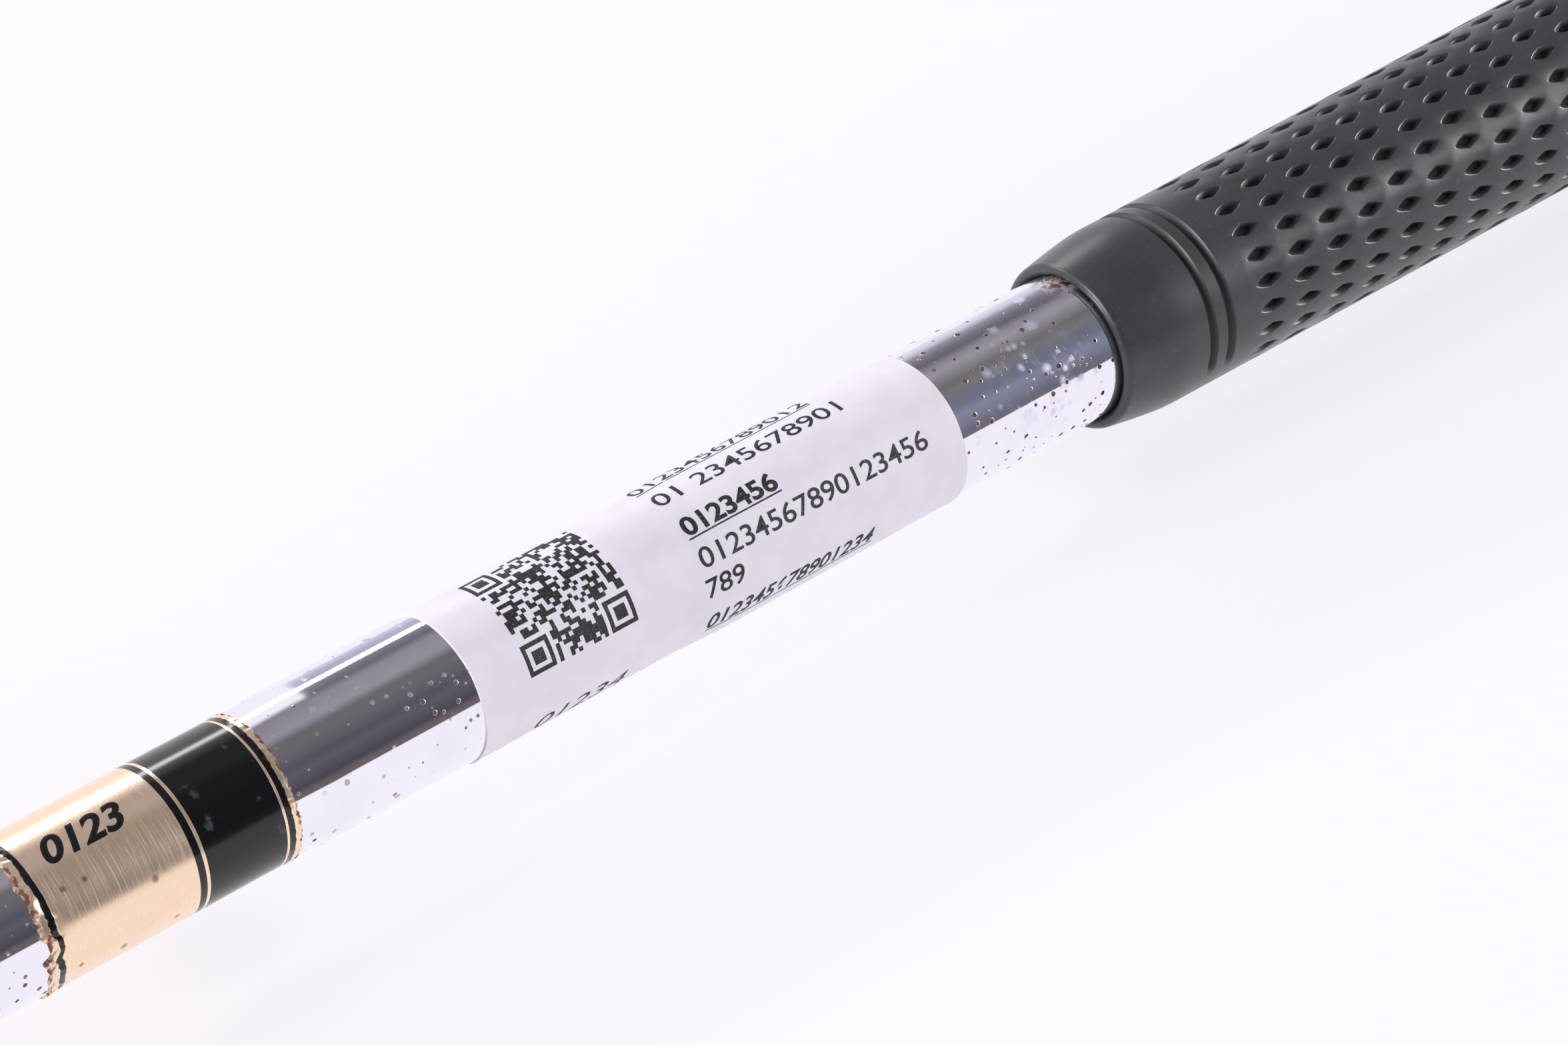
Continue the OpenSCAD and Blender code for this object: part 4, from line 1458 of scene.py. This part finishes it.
# %% Give the head its finishes
head_piece.data.materials.append(enamel)
face_piece.data.materials.append(
    worked_steel("blasted_face_steel", "#C9C9CC", "#A9A9AE", (3, 3, 3), 0.3, 0.5, 0.02),
)
plate_blank.materials.append(
    worked_steel("brushed_sole_steel", "#CFCED0", "#BFBEC0", (0.12, 5, 5), 0.2, 0.42, 0.012, 123),
)
number_mesh.materials.append(plain_core("black_number_paint", "#0E0E10", "#17171A", 2.0, 0.4))
plate_mesh = carved("sole_insert", plate_blank, [hollow_mesh, screw_cutter, number_mesh], [skin_mesh])
for vertex in plate_mesh.vertices:
    vertex.co = on_club(vertex.co)
sole_piece = finished("sole_insert", plate_mesh, 28)
print("sole faces:", len(plate_mesh.polygons), "materials:", [m.name for m in plate_mesh.materials])
KEPT = {
    "fill_screw": worked_steel("blackened_screw_steel", "#77777C", "#4A4A4F", (4, 4, 4), 0.3, 0.5, 0.02),
    "grip_tape": plain_core("creped_masking_tape", "#CDBB8C", "#E2D3A8", 1.5, 0.8),
    "hosel_epoxy": plain_core("cured_epoxy", "#B79B5C", "#CDB377", 0.6, 0.2),
    "balance_slug": plain_core("turned_brass", "#B08D3E", "#C9A85A", 2.0, 0.35, 1.0),
    "slug_cork": plain_core("pressed_cork", "#8E6440", "#B88E60", 1.2, 0.9),
    "foam_fill": plain_core("rigid_urethane_foam", "#DCCB8A", "#EEE2B4", 1.0, 0.85),
}
for name, material in KEPT.items():
    nodes[name].data.materials.clear()
    nodes[name].data.materials.append(material)
print("dressed CAD nodes:", sorted(KEPT))

# %% [markdown]
# ## Floor, surroundings and light
# The photograph was taken on a white sweep, so chrome and gold show two things: the white floor
# below and behind, and the dim room above the camera. A band of colours round the shaft's own
# direction gives those surroundings. Soft lamps at both ends light the paper and the rubber
# without standing in the chrome's view. The floor takes most of its white from its own colour for
# the camera and for reflections, and keeps the club's shadow.

# %% Floor
FLOOR_REACH = 8.0
FLOOR_WHITE = "#FDFAFF"
SHADOW_KEPT, SHADOW_FADE = 0.22, (0.8, 2.0)

corners = [(x * FLOOR_REACH, y * FLOOR_REACH, 0) for x, y in ((-1, -1), (1, -1), (1, 1), (-1, 1))]
floor_data = mesh_of("studio_floor", corners, [(0, 1, 2, 3)])
floor = linked("studio_floor", floor_data)

floor_paint, add = new_material("white_sweep_paper")
rays = add("ShaderNodeLightPath").outputs
away = add("vector", add("ShaderNodeTexCoord").outputs["Object"], operation="LENGTH")
kept = add("range", away, *SHADOW_FADE, SHADOW_KEPT, 0.0, interpolation_type="SMOOTHSTEP")
plainly = add("MULTIPLY", rays["Is Camera Ray"], add("SUBTRACT", 1.0, kept))
seen = add("MAXIMUM", plainly, rays["Is Glossy Ray"])
matt = add("ShaderNodeBsdfDiffuse", {"Color": srgb(FLOOR_WHITE)})
plain = add("ShaderNodeEmission", {"Color": srgb(FLOOR_WHITE), "Strength": 1.0})
sheet = add("ShaderNodeMixShader", {0: seen, 1: matt, 2: plain})
add("output", sheet)
floor_data.materials.append(floor_paint)
print("floor:", 2 * FLOOR_REACH, "m wide")

# %% Surroundings and lamps
# Colours of the surroundings by the angle round the shaft's direction, as seen by the reflections
# at the grip's end and at the band's end of the view
GRIP_END_VIEW = [
    (-180, "#FDFAFF"), (-112, "#F9F7FB"), (-100, "#F3F1FA"), (-88, "#ECEAF6"), (-76, "#DBD8E4"),
    (-70, "#C4C2CA"), (-64, "#9C9BA2"), (-52, "#7E7B83"), (-40, "#6C696F"), (-28, "#908E93"),
    (-16, "#A09DA2"), (-4, "#8B8888"), (8, "#73716E"), (20, "#7B797A"), (32, "#74767F"),
    (44, "#747887"), (56, "#878B9F"), (68, "#808293"), (80, "#70717E"), (91, "#6C6D76"),
    (92, "#F5F2F8"), (180, "#FDFAFF"),
]
BAND_END_VIEW = [
    (-180, "#FDFAFF"), (-112, "#F5F4F9"), (-100, "#EDEBF8"), (-88, "#DBD9E8"), (-76, "#BCBCCF"),
    (-64, "#B4B2BC"), (-56, "#8A888E"), (-40, "#6C6B73"), (-28, "#939096"), (-16, "#97959D"),
    (-4, "#99979F"), (8, "#6E6D6D"), (20, "#6E6D6D"), (32, "#67666B"), (44, "#5A5860"),
    (56, "#605F66"), (68, "#55555E"), (76, "#4A4B52"), (84, "#6C6564"), (91, "#6C6564"),
    (92, "#F5F2F8"), (180, "#FDFAFF"),
]
# The cone of a step leans towards the head and sees a white card there
STEP_VIEW = [(-180, "#FDFAFF"), (-42, "#FDFAFF"), (-34, "#8A888E"), *BAND_END_VIEW[10:]]
# The views from the head's end to the butt's, and where along x each gives way to the next
VIEWS = (BAND_END_VIEW, STEP_VIEW, BAND_END_VIEW, GRIP_END_VIEW)
VIEW_CHANGES = ((0.3, 0.32), (0.417, 0.43), (0.48, 0.53))


def surroundings():
    world = bpy.data.worlds.new("studio_surroundings")
    scene.world = world
    world.use_nodes = True
    world.node_tree.nodes.clear()
    add = functools.partial(add_node, world.node_tree)
    way = add("ShaderNodeTexCoord").outputs["Generated"]
    part = add("ShaderNodeSeparateXYZ", {"Vector": way}).outputs
    turn = add("ARCTAN2", add("MULTIPLY", part["Y"], -1.0), part["Z"])
    place = add("ADD", add("DIVIDE", turn, 2 * math.pi), 0.5)
    turns = [[((angle + 180) / 360, code) for angle, code in view] for view in VIEWS]
    view, *onward = [add("ramp", place, stops=stops) for stops in turns]
    for change, following in zip(VIEW_CHANGES, onward):
        view = add("mix", add("range", part["X"], *change), view, following)
    camera_ray = add("ShaderNodeLightPath").outputs["Is Camera Ray"]
    seen = add("mix", camera_ray, view, srgb(FLOOR_WHITE))
    back = add("ShaderNodeBackground", {"Color": seen, "Strength": 1.0})
    add("ShaderNodeOutputWorld", {"Surface": back})


def soft_lamp(name, spot, aim, width, height, power):
    data = bpy.data.lights.new(name, "AREA")
    data.shape = "RECTANGLE"
    data.size, data.size_y, data.energy = width, height, power
    lamp = linked(name, data)
    lamp.location = spot
    lamp.rotation_euler = (Vector(aim) - Vector(spot)).to_track_quat("-Z", "Y").to_euler()
    return lamp


surroundings()
soft_lamp("grip_side_softbox", (3.4, -1.05, 0.8), (0.25, 0, 0), 1.3, 1.2, 109)
soft_lamp("head_side_softbox", (-2.9, 0.35, 1.55), (0.0, 0, 0), 1.5, 1.5, 98)
soft_lamp("camera_side_softbox", (2.235, -1.4, 0.714), (0.31, 0.034, 0.014), 0.6, 0.9, 6.5)
soft_lamp("back_softbox", (0.0, 1.9, 1.11), (0.0, 0, 0), 2.9, 0.3, 27)

# %% [markdown]
# ## Ride, replace and measure
# Every piece rides on the one rigid body of the club, and the CAD node that a piece stands in for is
# hidden. The named image points are then measured against the finished vertices that the camera sees.

# %% Tie the pieces to the frame
stand_in(shaft_piece, "shaft_chrome", "shaft")
stand_in(band_piece, "band_foil", "shaft_band")
stand_in(label_piece, "label_paper", "stock_label")
stand_in(label_print, "label_paper")
stand_in(label_mosaic, "label_paper")
stand_in(band_print, "band_foil")
stand_in(grip_piece, "grip_rubber", "grip_sleeve")
stand_in(cap_piece, "cap_rubber", "grip_cap")
stand_in(ferrule_piece, "ferrule_plastic", "ferrule")
stand_in(head_piece, "head_paint", "head_body")
stand_in(face_piece, "face_steel", "face_plate")
stand_in(sole_piece, "sole_steel", "sole_plate")

# %% Measure the image points
bpy.context.view_layer.update()
depsgraph = bpy.context.evaluated_depsgraph_get()
SEEN_WITHIN = 0.0004


def camera_sees(point):
    start = camera.matrix_world.translation
    way = point - start
    hit, where = scene.ray_cast(depsgraph, start, way.normalized())[:2]
    return hit and (where - start).length > way.length - SEEN_WITHIN


def shown_of(piece, test=lambda x, angle, r: True):
    """Where the vertices of a piece show that pass a test and that the camera sees."""
    corners = [v.co for v in piece.data.vertices if test(*shaft_place(v.co))]
    return [show_at(corner) for corner in corners if camera_sees(corner)]


def miss(name, shown):
    """How far a place shows from its image point, in x and y."""
    return [round(a - b, 2) for a, b in zip(shown, IMAGE_POINTS[name])]


def edge_miss(name, piece, test):
    """The miss of the nearest seen vertex of an edge."""
    shown = shown_of(piece, test)
    return miss(name, min(shown, key=lambda p: math.dist(p, IMAGE_POINTS[name]))) if shown else None


def middle_miss(name, piece):
    """The miss of the middle of what shows of a piece."""
    shown = shown_of(piece)
    if not shown:
        return None
    return miss(name, [(min(p[i] for p in shown) + max(p[i] for p in shown)) / 2 for i in (0, 1)])


def ring_at(place, reach):
    return lambda x, angle, r: abs(x - place) < reach


black_x = band_low + BAND_FIELDS[2][0]
EDGES = {
    "label_right_top": (label_piece, ring_at(label_high, 0.3)),
    "label_right_bottom": (label_piece, ring_at(label_high, 0.3)),
    "label_left_top": (label_piece, ring_at(label_low, 0.3)),
    "label_left_bottom": (label_piece, ring_at(label_low, 0.3)),
    "band_black_edge": (band_piece, ring_at(black_x, 0.05)),
    "band_right_edge": (band_piece, ring_at(band_high, 0.3)),
    "mouth_middle": (grip_piece, lambda x, a, r: x < MOUTH + 0.6 and r < 7.9),
    "mouth_top": (grip_piece, lambda x, a, r: x < MOUTH + 1.0),
    "mouth_bottom": (grip_piece, lambda x, a, r: x < MOUTH + 1.0),
    "groove_middle": (grip_piece, ring_at(MOUTH + GROOVES[0], 0.05)),
}
GRIP_PLACES = {
    "groove_end": (MOUTH + GROOVES[0], GROOVE_END),
    "second_groove_end": (MOUTH + GROOVES[1], GROOVE_END),
    "first_dimple": (field_low + RING_PITCH * 0.5, first_angle),
    "fifth_dimple": (field_low + RING_PITCH * 8.5, first_angle),
}
misses = {name: edge_miss(name, piece, test) for name, (piece, test) in EDGES.items()}
misses["mosaic_middle"] = middle_miss("mosaic_middle", label_mosaic)
misses["band_number"] = middle_miss("band_number", band_print)
places = {name: round_shaft(x, a, grip_radius(x)) for name, (x, a) in GRIP_PLACES.items()}
places["stain_patch"] = sight("stain_patch", shaft_piece)
for name, place in places.items():
    misses[name] = miss(name, show_at(place))
for name, miss in misses.items():
    print(name, miss)
